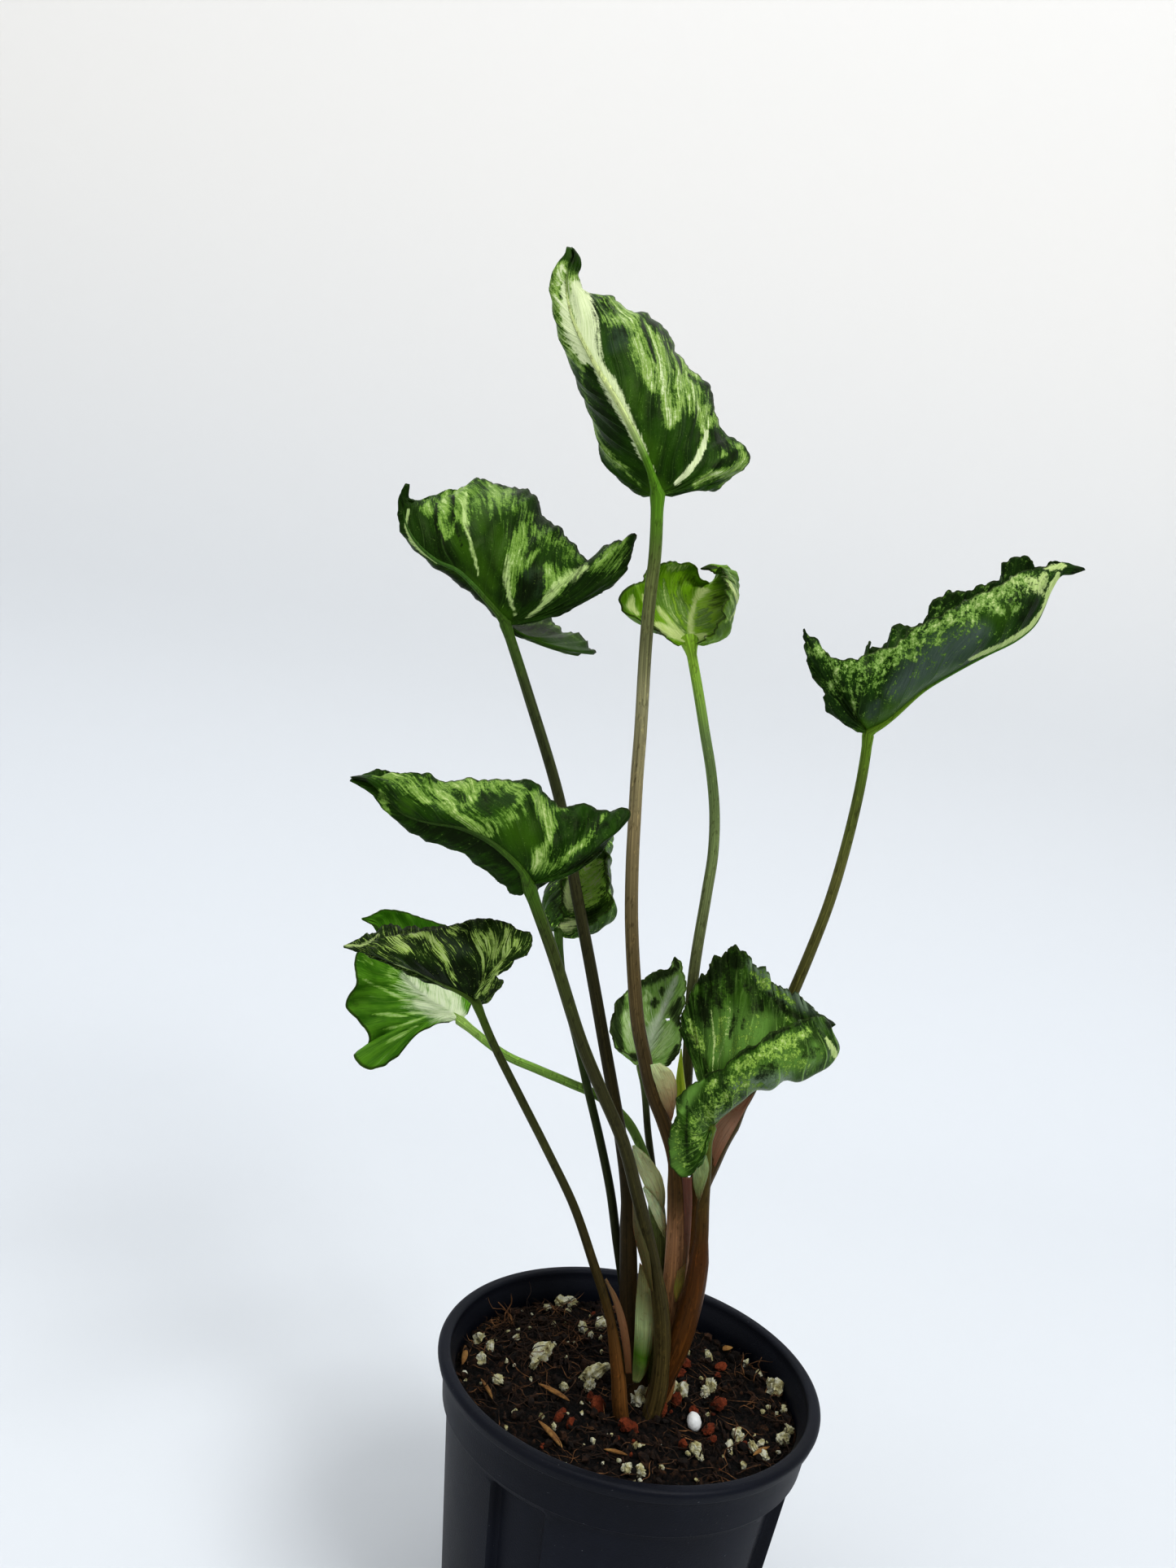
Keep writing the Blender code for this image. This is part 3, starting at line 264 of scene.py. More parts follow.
# leaf blades: places are (pixel right, pixel down, mm nearer); puffs bend the ribs at a share of the margin
# each blade's tones override the leaf tones further on, the tone of its painted sheen among them
blades = {
    "top": {
        "midrib": [(808, 608, 0), (795, 568, 4), (762, 500, 8), (727, 441, 8), (703, 390, 6), (696, 350, 4),
                   (700, 328, 3), (707, 316, 2.5), (705, 306, 2)],
        "left": [(798, 600, -8), (787, 590, -15), (776, 572, -19), (770, 545, -17), (756, 505, -19),
                 (740, 455, -19), (722, 405, -15), (702, 356, -7), (693, 336, -1), (699, 323, 1)],
        "right": [(825, 610, -3), (865, 600, -9), (888, 597, -12), (909, 579, -14), (921, 563, -14),
                  (908, 543, -14), (890, 531, -14), (876, 513, -14), (878, 487, -15), (866, 465, -15),
                  (846, 457, -15), (830, 426, -14), (798, 390, -11), (766, 374, -8), (738, 364, -4),
                  (717, 357, 0), (711, 338, 1), (713, 322, 2)],
        "puffLeft": [(0.0, -6, 4, 0), (0.35, -43, 4, 0), (0.7, -35, 6, 3), (1.0, -8, 0, 1)],
        "puffRight": [(0.0, 0, 1, 1), (0.3, 2, -4, 3), (0.7, 4, -2, 5), (1.0, -2, 0, 1)],
        "fan": 0.36, "frill": 1.3, "frills": 7, "seed": 11, "seen": "under", "lean": (0.12, 0.34),
        "slot": "leaf_variegated", "tooth": (0.6, 0.6),
        "tones": {"deep": (0.006, 0.024, 0.001), "mid": (0.02, 0.066, 0.002), "pale": (0.3, 0.44, 0.11),
                  "cream": (0.7, 0.77, 0.5), "creamLow": (0.46, 0.56, 0.26)}},
    "upper_left": {
        "midrib": [(621, 766, -6), (604, 745, -2), (563, 702, 2), (536, 689, 3), (510, 665, 3),
                   (498, 640, 2), (496, 618, 2), (496, 605, 2), (503, 596, 2)],
        "left": [(636, 782, -10), (662, 789, -15), (690, 796, -20), (713, 804, -23), (731, 802, -25),
                 (716, 789, -28), (694, 774, -30), (666, 750, -31), (630, 700, -31), (590, 662, -29),
                 (550, 640, -20), (517, 632, -8), (503, 624, 0), (499, 612, 1)],
        "right": [(634, 764, -8), (667, 757, -8), (701, 748, -8), (735, 730, -9), (761, 711, -10),
                  (774, 689, -10), (780, 657, -9), (765, 666, -10), (749, 674, -11), (727, 690, -12),
                  (703, 668, -14), (690, 652, -14), (664, 629, -16), (648, 602, -17), (625, 597, -18),
                  (590, 591, -16), (559, 601, -12), (529, 612, -6), (510, 619, -1), (502, 611, 1)],
        "puffLeft": [(0.0, 0, 3, 0), (0.3, -2, 14, 6), (0.65, -20, 30, 6), (1.0, -6, 4, 0)],
        "puffRight": [(0.0, 2, 3, 1), (0.3, 6, 6, 4), (0.65, -4, -2, 7), (1.0, -4, 0, 1)],
        "fan": 0.4, "frill": 1.4, "frills": 8, "seed": 21, "seen": "under", "lean": (0.1, 0.24),
        "slot": "leaf_variegated",
        "tones": {"deep": (0.006, 0.021, 0.0015), "mid": (0.016, 0.05, 0.003), "pale": (0.23, 0.37, 0.075),
                  "ragged": 0.45, "soft": 0.24, "cream": (0.48, 0.6, 0.27)}},
    "small_upright": {
        "midrib": [(847, 788, -25), (853, 760, -31), (862, 732, -37), (875, 717, -39), (884, 706, -38),
                   (882, 696, -34), (873, 694, -30), (861, 699, -28)],
        "left": [(834, 794, -21), (815, 782, -16), (802, 773, -13), (786, 762, -12), (772, 756, -12),
                 (764, 745, -13), (763, 732, -14), (770, 723, -16), (781, 717, -19), (791, 713, -22),
                 (794, 702, -26), (812, 694, -32), (833, 690, -38), (850, 694, -41), (858, 704, -42),
                 (868, 715, -43), (880, 717, -43), (887, 704, -38)],
        "right": [(856, 791, -22), (869, 784, -16), (880, 772, -13), (889, 750, -11), (893, 730, -13),
                  (891, 712, -17), (886, 701, -24)],
        "puffLeft": [(0.0, 0, 0, 0), (0.4, -6, 6, -5), (0.75, -4, 2, -6), (1.0, 0, 0, 0)],
        "puffRight": [(0.0, 4, 2, 0), (0.35, 28, 8, -3), (0.7, 34, 2, -6), (1.0, 16, 0, -1)],
        "fan": 0.34, "frill": 1.1, "frills": 8, "seed": 31, "seen": "upper", "lean": (0.2, 0.2),
        "tooth": (0.35, 0.35), "slot": "leaf_bright",
        "tones": {"deep": (0.1, 0.23, 0.004), "mid": (0.2, 0.39, 0.01), "bright": (0.29, 0.48, 0.018),
                  "scatter": 0.16, "cream": (0.62, 0.7, 0.33), "creamLow": (0.42, 0.55, 0.14), "soft": 0.3,
                  "grain": 0.6, "veins": 0.8, "vein": (0.42, 0.58, 0.12)}},
    "right": {
        "midrib": [(1067, 899, 0), (1090, 886, 2), (1134, 848, 4), (1171, 826, 5), (1209, 806, 6),
                   (1248, 787, 5), (1271, 768, 3), (1281, 750, 2), (1292, 724, 1), (1303, 707, 0),
                   (1318, 705, 0), (1331, 698, 0)],
        "left": [(1052, 898, 3), (1033, 885, 5), (1016, 869, 7), (1006, 844, 8), (995, 818, 8),
                 (990, 792, 9), (986, 772, 9), (997, 784, 9), (1012, 799, 9), (1032, 809, 10),
                 (1050, 809, 10), (1074, 803, 10), (1096, 794, 9), (1125, 772, 9), (1147, 760, 9),
                 (1188, 738, 9), (1222, 722, 8), (1252, 704, 6), (1280, 698, 3), (1306, 692, 1)],
        "right": [(1066, 880, -5), (1064, 850, -12), (1061, 815, -18), (1069, 788, -22), (1063, 800, -25),
                  (1079, 794, -25), (1096, 783, -24), (1104, 768, -23), (1124, 768, -22), (1144, 749, -21),
                  (1163, 726, -20), (1186, 728, -19), (1219, 712, -17), (1241, 689, -13), (1261, 684, -9),
                  (1278, 697, -6), (1303, 691, -3)],
        "puffLeft": [(0.0, -2, 2, 1), (0.3, -4, 6, 4), (0.65, 4, 8, 5), (1.0, 2, 2, 0)],
        "puffRight": [(0.0, 0, 0, 0), (0.3, -4, 4, -4), (0.65, 4, 12, -6), (1.0, 2, 2, -1)],
        "fan": 0.38, "frill": 1.3, "frills": 8, "seed": 41, "seen": "under", "lean": (0.16, 0.1),
        "slot": "leaf_variegated",
        "tones": {"deep": (0.007, 0.026, 0.003), "mid": (0.015, 0.052, 0.005), "pale": (0.24, 0.37, 0.1),
                  "streaks": (5, 9, 0), "flame": 2.1, "grain": 2.1, "grey": (0.085, 0.115, 0.105)}},
    "front_left": {
        "midrib": [(649, 1087, 44), (640, 1068, 47), (602, 1034, 50), (565, 1017, 51), (524, 1010, 50),
                   (496, 1000, 49), (474, 980, 47), (456, 963, 46), (434, 955, 44)],
        "left": [(662, 1080, 36), (680, 1066, 29), (698, 1046, 22), (704, 1024, 17), (684, 1018, 17),
                 (655, 1010, 19), (620, 990, 21), (580, 975, 25), (540, 965, 30), (498, 955, 37),
                 (464, 948, 42)],
        "right": [(664, 1078, 43), (694, 1064, 42), (730, 1056, 40), (744, 1040, 38), (757, 1020, 37),
                  (775, 999, 36), (757, 996, 35), (735, 994, 35), (712, 988, 36), (691, 993, 37),
                  (674, 978, 39), (655, 964, 40), (626, 958, 41), (590, 958, 42), (553, 960, 43),
                  (524, 953, 44), (493, 951, 45), (462, 952, 45)],
        "puffLeft": [(0.0, -2, 4, 2), (0.35, -20, 34, 8), (0.7, -16, 36, 6), (1.0, -2, 4, 1)],
        "puffRight": [(0.0, 0, 2, 1), (0.35, 4, 10, 4), (0.7, -2, 6, 5), (1.0, -2, 0, 1)],
        "fan": 0.4, "frill": 1.2, "frills": 7, "seed": 51, "seen": "under", "lean": (0.1, 0.22),
        "tooth": (0.7, 0.7), "slot": "leaf_variegated",
        "tones": {"deep": (0.005, 0.022, 0.001), "mid": (0.016, 0.056, 0.002)}},
    "low_left": {
        "midrib": [(585, 1232, 22), (566, 1220, 24), (543, 1209, 25), (519, 1197, 26), (484, 1184, 25),
                   (458, 1173, 24), (440, 1166, 23), (423, 1162, 22)],
        "left": [(592, 1226, 17), (604, 1221, 13), (613, 1214, 10), (616, 1206, 8), (606, 1192, 6),
                 (594, 1172, 5), (570, 1150, 5), (529, 1139, 7), (505, 1140, 10), (480, 1138, 14),
                 (456, 1146, 18), (439, 1155, 21)],
        "right": [(594, 1226, 25), (605, 1208, 27), (618, 1192, 28), (634, 1178, 28), (648, 1171, 28),
                  (652, 1148, 27), (635, 1140, 27), (610, 1131, 26), (591, 1129, 25), (563, 1135, 25),
                  (543, 1140, 25), (519, 1145, 25), (499, 1148, 25), (473, 1152, 24), (446, 1160, 23)],
        "puffLeft": [(0.0, 0, 2, 0), (0.4, -4, 16, 4), (0.7, -4, 18, 5), (1.0, 0, 2, 0)],
        "puffRight": [(0.0, -2, -3, 1), (0.25, -6, -11, 3), (0.5, 2, 0, 4), (0.75, 0, 4, 5), (1.0, 0, 0, 0)],
        "fan": 0.42, "frill": 1.1, "frills": 8, "seed": 61, "seen": "under", "lean": (0.1, 0.2),
        "tooth": (0.45, 0.45), "slot": "leaf_dark",
        "tones": {"deep": (0.006, 0.016, 0.002), "mid": (0.016, 0.04, 0.005), "pale": (0.42, 0.58, 0.14),
                  "paleLow": (0.12, 0.2, 0.04), "grey": (0.06, 0.085, 0.055), "scatter": 0.22, "rough": 0.42,
                  "streaks": (11, 3, 0), "flame": 4.4, "speckle": 0.6, "bright": (0.03, 0.07, 0.008)}},
    "pale_low": {
        "midrib": [(565, 1254, -18), (550, 1240, -22), (529, 1228, -26), (500, 1200, -30), (477, 1168, -32),
                   (466, 1150, -30.5), (456, 1135, -29), (444, 1129, -28)],
        "left": [(552, 1256, -16), (534, 1258, -14), (515, 1269, -12), (499, 1284, -10), (486, 1298, -9),
                 (469, 1311, -9), (455, 1315, -9), (441, 1308, -10), (435, 1297, -11), (440, 1288, -13),
                 (453, 1281, -15), (452, 1270, -16), (438, 1252, -18), (425, 1236, -19), (429, 1224, -20),
                 (437, 1211, -21), (436, 1189, -23), (440, 1171, -25), (452, 1161, -26), (464, 1152, -27),
                 (463, 1142, -27.5), (454, 1135, -28)],
        "right": [(574, 1246, -22), (582, 1225, -26), (590, 1198, -31), (592, 1172, -35), (575, 1156, -37),
                  (555, 1142, -37), (534, 1133, -37), (511, 1125, -35), (486, 1119, -33), (468, 1119, -30),
                  (455, 1126, -28.5)],
        "puffLeft": [(0.0, 0, -1, -1), (0.12, 0, -10, -2), (0.27, 2, -22, -4), (0.5, 2, -4, -5),
                     (0.8, 4, 0, -4), (1.0, 0, 0, 0)],
        "puffRight": [(0.0, 0, 0, -1), (0.4, 4, 0, -5), (0.8, 2, 2, -4), (1.0, 0, 0, 0)],
        "fan": 0.4, "frill": 0.9, "frills": 5, "seed": 71, "seen": "upper", "lean": (0.12, 0.12),
        "tooth": (0.25, 0.25), "slot": "leaf_bright",
        "tones": {"deep": (0.045, 0.165, 0.005), "mid": (0.12, 0.31, 0.018), "scatter": 0.0,
                  "cream": (0.68, 0.75, 0.55), "creamLow": (0.56, 0.68, 0.38), "speckle": 0.05,
                  "ragged": 0.75, "soft": 0.42, "grain": 0.25, "flame": 2.2, "veins": 0.9,
                  "vein": (0.24, 0.42, 0.06), "pale": (0.4, 0.58, 0.2), "paleLow": (0.2, 0.4, 0.05)}},
    "small_back": {
        "midrib": [(686, 1146, -20), (697, 1120, -26), (712, 1085, -30), (728, 1052, -31), (742, 1026, -28),
                   (748, 1010, -25)],
        "left": [(687, 1138, -15), (691, 1118, -11), (691, 1092, -10), (694, 1072, -13), (710, 1050, -17),
                 (728, 1032, -21), (742, 1018, -24)],
        "right": [(698, 1150, -17), (718, 1139, -13), (738, 1126, -10), (751, 1108, -9), (747, 1088, -10),
                  (745, 1062, -13), (744, 1044, -17), (747, 1026, -22)],
        "puffLeft": [(0.0, -6, 0, 0), (0.4, -25, 2, -4), (0.7, -18, -4, -5), (1.0, -2, 0, 0)],
        "puffRight": [(0.0, 2, 4, 0), (0.4, 27, 12, -4), (0.7, 18, 4, -5), (1.0, 6, 2, -1)],
        "fan": 0.34, "frill": 0.8, "frills": 6, "seed": 81, "seen": "upper", "lean": (0.1, 0.1),
        "tooth": (0.6, 0.6), "slot": "leaf_dark",
        "tones": {"deep": (0.03, 0.08, 0.01), "mid": (0.085, 0.19, 0.025), "pale": (0.66, 0.95, 0.2),
                  "paleLow": (0.48, 0.82, 0.12), "cream": (0.86, 0.96, 0.52), "creamLow": (0.7, 0.92, 0.32),
                  "soft": 0.3, "flame": 3.0, "scatter": 0.16}},
    "small_middle": {
        "midrib": [(787, 1311, -22), (797, 1285, -25), (808, 1258, -27), (820, 1230, -28), (830, 1205, -27),
                   (834, 1190, -25), (829, 1176, -23)],
        "left": [(778, 1300, -19), (762, 1290, -17), (753, 1278, -16), (751, 1259, -16), (756, 1236, -17),
                 (770, 1219, -19), (788, 1204, -21), (806, 1195, -23), (823, 1189, -24)],
        "right": [(800, 1311, -20), (812, 1311, -19), (822, 1308, -19), (831, 1298, -19), (837, 1279, -20),
                  (836, 1250, -21), (841, 1227, -22), (842, 1205, -22), (838, 1189, -23)],
        "puffLeft": [(0.0, 0, 0, -1), (0.5, -3, 2, -4), (1.0, 0, 0, 0)],
        "puffRight": [(0.0, 0, 0, -1), (0.5, 3, 2, -4), (1.0, 0, 0, 0)],
        "fan": 0.36, "frill": 0.7, "frills": 6, "seed": 91, "seen": "upper", "lean": (0.16, 0.16),
        "tooth": (0.3, 0.3), "holes": [(820.6, 1252.8, 3.4, 2.4)], "slot": "leaf_dark",
        "tones": {"deep": (0.24, 0.45, 0.09), "mid": (0.46, 0.7, 0.22), "pale": (0.68, 0.86, 0.44),
                  "paleLow": (0.44, 0.64, 0.24), "cream": (0.88, 0.93, 0.84), "creamLow": (0.66, 0.8, 0.52),
                  "veins": 0.9, "vein": (0.78, 0.9, 0.62), "bright": (0.1, 0.22, 0.03), "speckle": 0.12,
                  "soft": 0.5, "grain": 0.5}},
    "right_front": {
        "midrib": [(873, 1384, 14), (888, 1371, 17), (911, 1353, 19), (929, 1339, 20), (947, 1339, 20.5),
                   (964, 1327, 21), (981, 1329, 20), (1002, 1319, 18.5), (1020, 1308, 16), (1031, 1288, 13),
                   (1024, 1272, 11.5), (1018, 1264, 10.5), (1023, 1256, 10)],
        "left": [(870, 1368, 11), (867, 1345, 9), (871, 1322, 7), (868, 1307, 5), (857, 1287, 3),
                 (843, 1270, 2), (838, 1250, 1), (846, 1228, -1), (858, 1203, -3), (869, 1194, -4),
                 (880, 1176, -5), (890, 1171, -5), (898, 1164, -5), (913, 1168, -4), (925, 1179, -3),
                 (938, 1194, -2), (949, 1207, -1), (968, 1216, 1), (986, 1227, 3), (999, 1240, 6),
                 (1013, 1249, 9)],
        "right": [(872, 1394, 16), (867, 1409, 17), (860, 1425, 18), (853, 1441, 19), (840, 1447, 19),
                  (828, 1438, 19), (821, 1420, 19), (824, 1398, 20), (828, 1370, 21), (835, 1348, 21),
                  (848, 1333, 21), (862, 1327, 22), (882, 1314, 23), (905, 1297, 24), (936, 1278, 24),
                  (962, 1262, 22), (990, 1252, 18), (1008, 1249, 13)],
        "puffLeft": [(0.0, 0, 4, 0), (0.35, 4, 12, -2), (0.7, 4, 14, -3), (1.0, 2, 2, 0)],
        "puffRight": [(0.0, 1, 0, 1), (0.3, 2, 0, 3), (0.7, 2, 6, 5), (1.0, 2, 2, 1)],
        "fan": 0.44, "frill": 1.2, "frills": 9, "seed": 101, "seen": "upper", "lean": (0.1, 0.05),
        "tooth": (1.4, 0.4), "slot": "leaf_variegated",
        "tones": {"deep": (0.012, 0.038, 0.003), "mid": (0.045, 0.115, 0.009), "pale": (0.27, 0.42, 0.075),
                  "paleLow": (0.075, 0.155, 0.028), "bright": (0.17, 0.33, 0.07), "grey": (0.26, 0.33, 0.26),
                  "streaks": (6, 10, 0), "grain": 2.2, "flame": 1.2, "veins": 0.9,
                  "vein": (0.25, 0.42, 0.1)}}}

# variegation and painted sheen (painted reflection), as brush strokes on the photograph: by kind and half of
# the blade, each with its half width, strength and the pixels that it runs through
leafMarks = {
    "top": {
        "bright both": [(11, 0.9, 808, 612, 806, 596)],
        "bright right": [(10, 0.6, 792, 540, 800, 570), (9, 0.45, 772, 470, 786, 510)],
        "cream both": [(4, 0.9, 797, 572, 802, 580), (5, 0.95, 796, 572, 784, 543, 770, 512),
            (7, 0.95, 778, 530, 752, 478, 730, 440),
            (12, 0.9, 733, 446, 724, 425, 720, 400, 714, 370, 708, 352)],
        "cream left": [(8, 0.8, 694, 348, 696, 385, 706, 420, 718, 445)],
        "cream right": [(3.6, 0.9, 868, 530, 864, 548, 856, 566, 844, 582, 829, 595)],
        "dark both": [(4, 0.75, 703, 322, 706, 308)],
        "dark left": [(3, 0.7, 690, 352, 689, 366), (2.5, 0.6, 697, 340, 700, 350),
            (9, 0.55, 724, 470, 740, 505, 762, 545)],
        "dark right": [(5, 0.5, 752, 418, 762, 408, 776, 412), (1.8, 0.75, 786, 392, 797, 420, 806, 448),
            (1.8, 0.65, 806, 398, 820, 430, 830, 462), (6, 0.8, 720, 364, 726, 380, 731, 402),
            (4, 0.75, 738, 368, 748, 378, 756, 388), (2.5, 0.7, 860, 462, 872, 478, 876, 500, 872, 512),
            (5, 0.8, 872, 530, 884, 540, 896, 556), (4, 0.7, 876, 574, 892, 568, 904, 556),
            (2, 0.7, 785, 385, 800, 398, 818, 415, 832, 440, 838, 458),
            (2.5, 0.6, 846, 462, 866, 478, 874, 500)],
        "grey right": [(9, 0.8, 752, 428, 762, 415, 775, 420)],
        "pale both": [(11, 1.0, 690, 328, 688, 360, 694, 390),
            (13, 0.9, 704, 345, 700, 370, 702, 400, 710, 430, 716, 445)],
        "pale left": [(3.5, 0.6, 714, 455, 722, 490, 736, 530),
            (3, 0.7, 728, 517, 741, 549, 762, 573, 788, 597)],
        "pale right": [(8, 0.75, 806, 404, 846, 452, 872, 492, 882, 520),
            (15, 0.72, 736, 372, 768, 392, 800, 420, 828, 455, 850, 500),
            (9, 0.65, 742, 392, 758, 392, 776, 400), (7, 0.85, 736, 368, 756, 376, 777, 390),
            (7, 0.95, 775, 393, 782, 420, 791, 448, 801, 478),
            (6, 0.95, 797, 404, 808, 440, 817, 485, 822, 523),
            (5, 0.85, 819, 421, 832, 456, 836, 491, 830, 517),
            (5, 0.85, 838, 452, 849, 478, 860, 506, 866, 538),
            (4, 0.85, 866, 500, 870, 520, 866, 540, 858, 560), (4, 0.8, 884, 600, 906, 586, 916, 570),
            (6, 0.8, 888, 536, 892, 552, 886, 562),
            (5, 0.85, 908, 548, 914, 564, 897, 580, 875, 582, 853, 595)]},
    "upper_left": {
        "bright both": [(4, 0.7, 537, 691, 569, 706, 589, 722, 608, 748, 620, 768),
            (9, 0.8, 622, 764, 616, 752)],
        "bright left": [(12, 0.75, 645, 770, 690, 785, 728, 802), (5, 0.6, 650, 772, 668, 768)],
        "bright right": [(8, 0.55, 560, 660, 585, 690, 605, 720), (8, 0.5, 586, 602, 588, 625, 592, 650),
            (8, 0.5, 612, 650, 614, 676, 616, 700)],
        "cream both": [(2, 0.9, 502, 626, 499, 648, 507, 665, 521, 679, 537, 691)],
        "cream right": [(3.4, 0.75, 572, 606, 571, 636, 577, 664), (2.0, 0.85, 574, 648, 581, 680, 588, 706),
            (4.4, 0.7, 625, 682, 622, 702, 623, 722), (2.2, 0.85, 622, 708, 626, 734, 633, 755),
            (7, 0.68, 720, 698, 698, 709, 680, 722), (4.8, 0.78, 694, 712, 677, 730, 664, 746),
            (2.4, 0.85, 670, 738, 660, 750, 647, 759)],
        "dark left": [(14, 0.7, 540, 700, 580, 735, 610, 760), (5, 0.6, 640, 772, 664, 774, 690, 784)],
        "dark right": [(1.8, 0.8, 557, 610, 557, 640, 568, 670), (1.8, 0.8, 536, 620, 535, 645, 546, 668),
            (12, 0.75, 640, 738, 652, 724, 660, 712), (9, 0.5, 520, 650, 540, 680, 570, 700)],
        "grey left": [(4, 0.6, 670, 785, 700, 792, 728, 802)],
        "grey right": [(7, 0.5, 640, 700, 665, 715, 660, 730)],
        "pale left": [(2, 0.7, 640, 770, 668, 766, 690, 772, 712, 790)],
        "pale right": [(14, 0.5, 530, 622, 560, 612, 600, 606, 640, 622),
            (10, 0.46, 655, 650, 690, 672, 712, 690), (8, 0.5, 730, 700, 752, 688, 770, 672),
            (6, 0.8, 524, 618, 529, 632), (7, 0.85, 549, 606, 545, 624, 541, 645, 548, 660),
            (6, 0.85, 562, 600, 562, 623, 555, 655), (6, 0.85, 570, 594, 569, 620, 573, 648),
            (8, 0.8, 600, 596, 608, 606, 618, 613, 628, 604), (2.5, 0.75, 601, 605, 603, 637),
            (5, 0.7, 648, 628, 652, 640), (8, 0.85, 645, 645, 638, 663, 633, 683, 628, 702),
            (6, 0.85, 640, 686, 632, 708, 629, 732), (4, 0.75, 660, 677, 648, 691, 640, 706, 632, 722),
            (6, 0.75, 664, 698, 674, 702, 668, 711), (10, 0.75, 700, 704, 680, 716, 668, 735),
            (5, 0.7, 769, 662, 757, 674, 745, 682, 731, 694), (4, 0.6, 697, 672, 705, 681)]},
    "small_upright": {
        "bright left": [(14, 0.7, 828, 740, 840, 765)],
        "bright right": [(15, 0.98, 858, 768, 868, 755, 878, 748)],
        "cream both": [(2.8, 0.95, 847, 790, 849, 760, 855, 738), (5, 0.85, 854, 738, 861, 728, 870, 726)],
        "cream left": [(5, 0.95, 842, 787, 830, 780, 818, 774, 806, 767),
            (3, 0.8, 843, 785, 825, 768, 812, 753, 807, 745), (4, 0.9, 777, 733, 774, 745, 783, 755),
            (2, 0.8, 789, 728, 791, 742)],
        "cream right": [(4, 0.9, 850, 787, 858, 784, 866, 781),
            (1.6, 0.8, 892, 708, 902, 728, 907, 745, 896, 762)],
        "dark both": [(8, 0.55, 878, 733, 884, 741, 873, 745), (3, 0.95, 880, 698, 868, 698, 861, 700)],
        "dark left": [(7, 0.5, 826, 722, 840, 712, 852, 710), (3, 0.8, 787, 758, 808, 774, 818, 781)],
        "grey right": [(9, 0.9, 890, 704, 901, 722, 905, 745, 893, 764, 882, 776)],
        "pale left": [(12, 0.42, 800, 735, 820, 740, 840, 750),
            (2.5, 0.9, 842, 778, 826, 757, 816, 735, 815, 713),
            (2.5, 0.8, 844, 770, 838, 750, 834, 730, 833, 715), (4, 0.8, 820, 698, 833, 697, 845, 696)],
        "pale right": [(2, 0.9, 886, 702, 896, 722, 899, 745, 890, 765),
            (2, 0.8, 893, 700, 905, 722, 908, 745, 898, 770), (9, 0.6, 858, 765, 868, 752),
            (8, 0.5, 862, 765, 872, 770)]},
    "right": {
        "bright both": [(6, 0.7, 1069, 900, 1080, 886, 1107, 860, 1140, 836, 1173, 817),
            (9, 0.9, 1066, 896, 1062, 888)],
        "bright left": [(12, 0.35, 1210, 770, 1240, 750)],
        "cream both": [(4, 0.95, 1300, 705, 1290, 728, 1279, 756),
            (2.8, 0.95, 1284, 744, 1264, 772, 1235, 790, 1190, 810),
            (4, 0.8, 1284, 699, 1298, 697, 1308, 696)],
        "cream left": [(6, 0.5, 1236, 716, 1252, 718, 1262, 728),
            (8, 0.75, 1262, 712, 1276, 722, 1282, 708)],
        "dark both": [(3, 0.9, 1318, 703, 1331, 698)],
        "dark left": [(8, 0.7, 1256, 760, 1268, 748, 1272, 740)],
        "dark right": [(20, 0.35, 1070, 805, 1150, 760, 1230, 715)],
        "grey left": [(15, 0.95, 1100, 850, 1135, 822, 1170, 797, 1205, 775),
            (5, 0.6, 1068, 880, 1080, 862)],
        "pale left": [(13, 0.52, 1000, 800, 1040, 822, 1090, 805, 1150, 775, 1215, 740, 1280, 712),
            (12, 0.42, 1020, 845, 1070, 830, 1110, 800), (5, 0.85, 1020, 808, 1024, 820, 1029, 828),
            (3, 0.7, 1010, 795, 1016, 812), (4, 0.75, 1046, 812, 1050, 826),
            (5, 0.8, 1079, 807, 1097, 793, 1108, 785), (3, 0.7, 1112, 805, 1126, 812),
            (4, 0.75, 1140, 777, 1155, 769, 1160, 765), (3.5, 0.85, 1168, 758, 1198, 744, 1222, 731),
            (9, 0.8, 1228, 720, 1246, 712, 1265, 715), (7, 0.8, 1222, 744, 1231, 753),
            (9, 0.85, 1186, 748, 1216, 730, 1250, 714), (5, 0.75, 1244, 752, 1252, 742),
            (3.5, 0.7, 1202, 755, 1194, 765), (2, 0.85, 1046, 848, 1050, 865, 1051, 880),
            (4, 0.65, 1018, 838, 1024, 852), (3, 0.6, 1034, 842, 1038, 852)],
        "pale right": [(12, 0.4, 1080, 790, 1150, 750, 1240, 700)]},
    "front_left": {
        "bright right": [(15, 0.55, 622, 1010, 640, 1025, 652, 1035), (7, 0.5, 495, 985, 505, 995)],
        "dark both": [(9, 0.85, 515, 1014, 560, 1026, 600, 1044, 630, 1064), (3, 0.8, 434, 955, 452, 960)],
        "dark left": [(14, 0.5, 490, 1005, 540, 1040, 600, 1066, 650, 1085),
            (30, 0.6, 500, 990, 600, 1040, 680, 1060)],
        "dark right": [(9, 0.6, 690, 1005, 715, 1012, 745, 1015), (6, 0.6, 592, 978, 602, 1000),
            (7, 0.7, 700, 1066, 730, 1052, 745, 1036)],
        "pale both": [(4, 0.85, 467, 972, 473, 986, 479, 1000)],
        "pale right": [(13, 0.55, 480, 960, 530, 968, 580, 966, 640, 970),
            (10, 0.5, 555, 985, 600, 1010, 640, 1000), (6, 0.55, 655, 1070, 690, 1060, 725, 1035),
            (4, 0.8, 459, 953, 482, 953, 494, 956), (6, 0.85, 502, 964, 516, 979, 527, 985),
            (7, 0.9, 534, 966, 548, 984, 562, 1002), (5, 0.9, 562, 1002, 581, 1016, 602, 1027),
            (9, 0.85, 560, 965, 585, 968, 577, 986), (5, 0.75, 604, 961, 624, 958, 640, 962),
            (3, 0.75, 598, 1006, 606, 1026), (6, 0.7, 628, 965, 641, 977, 633, 990),
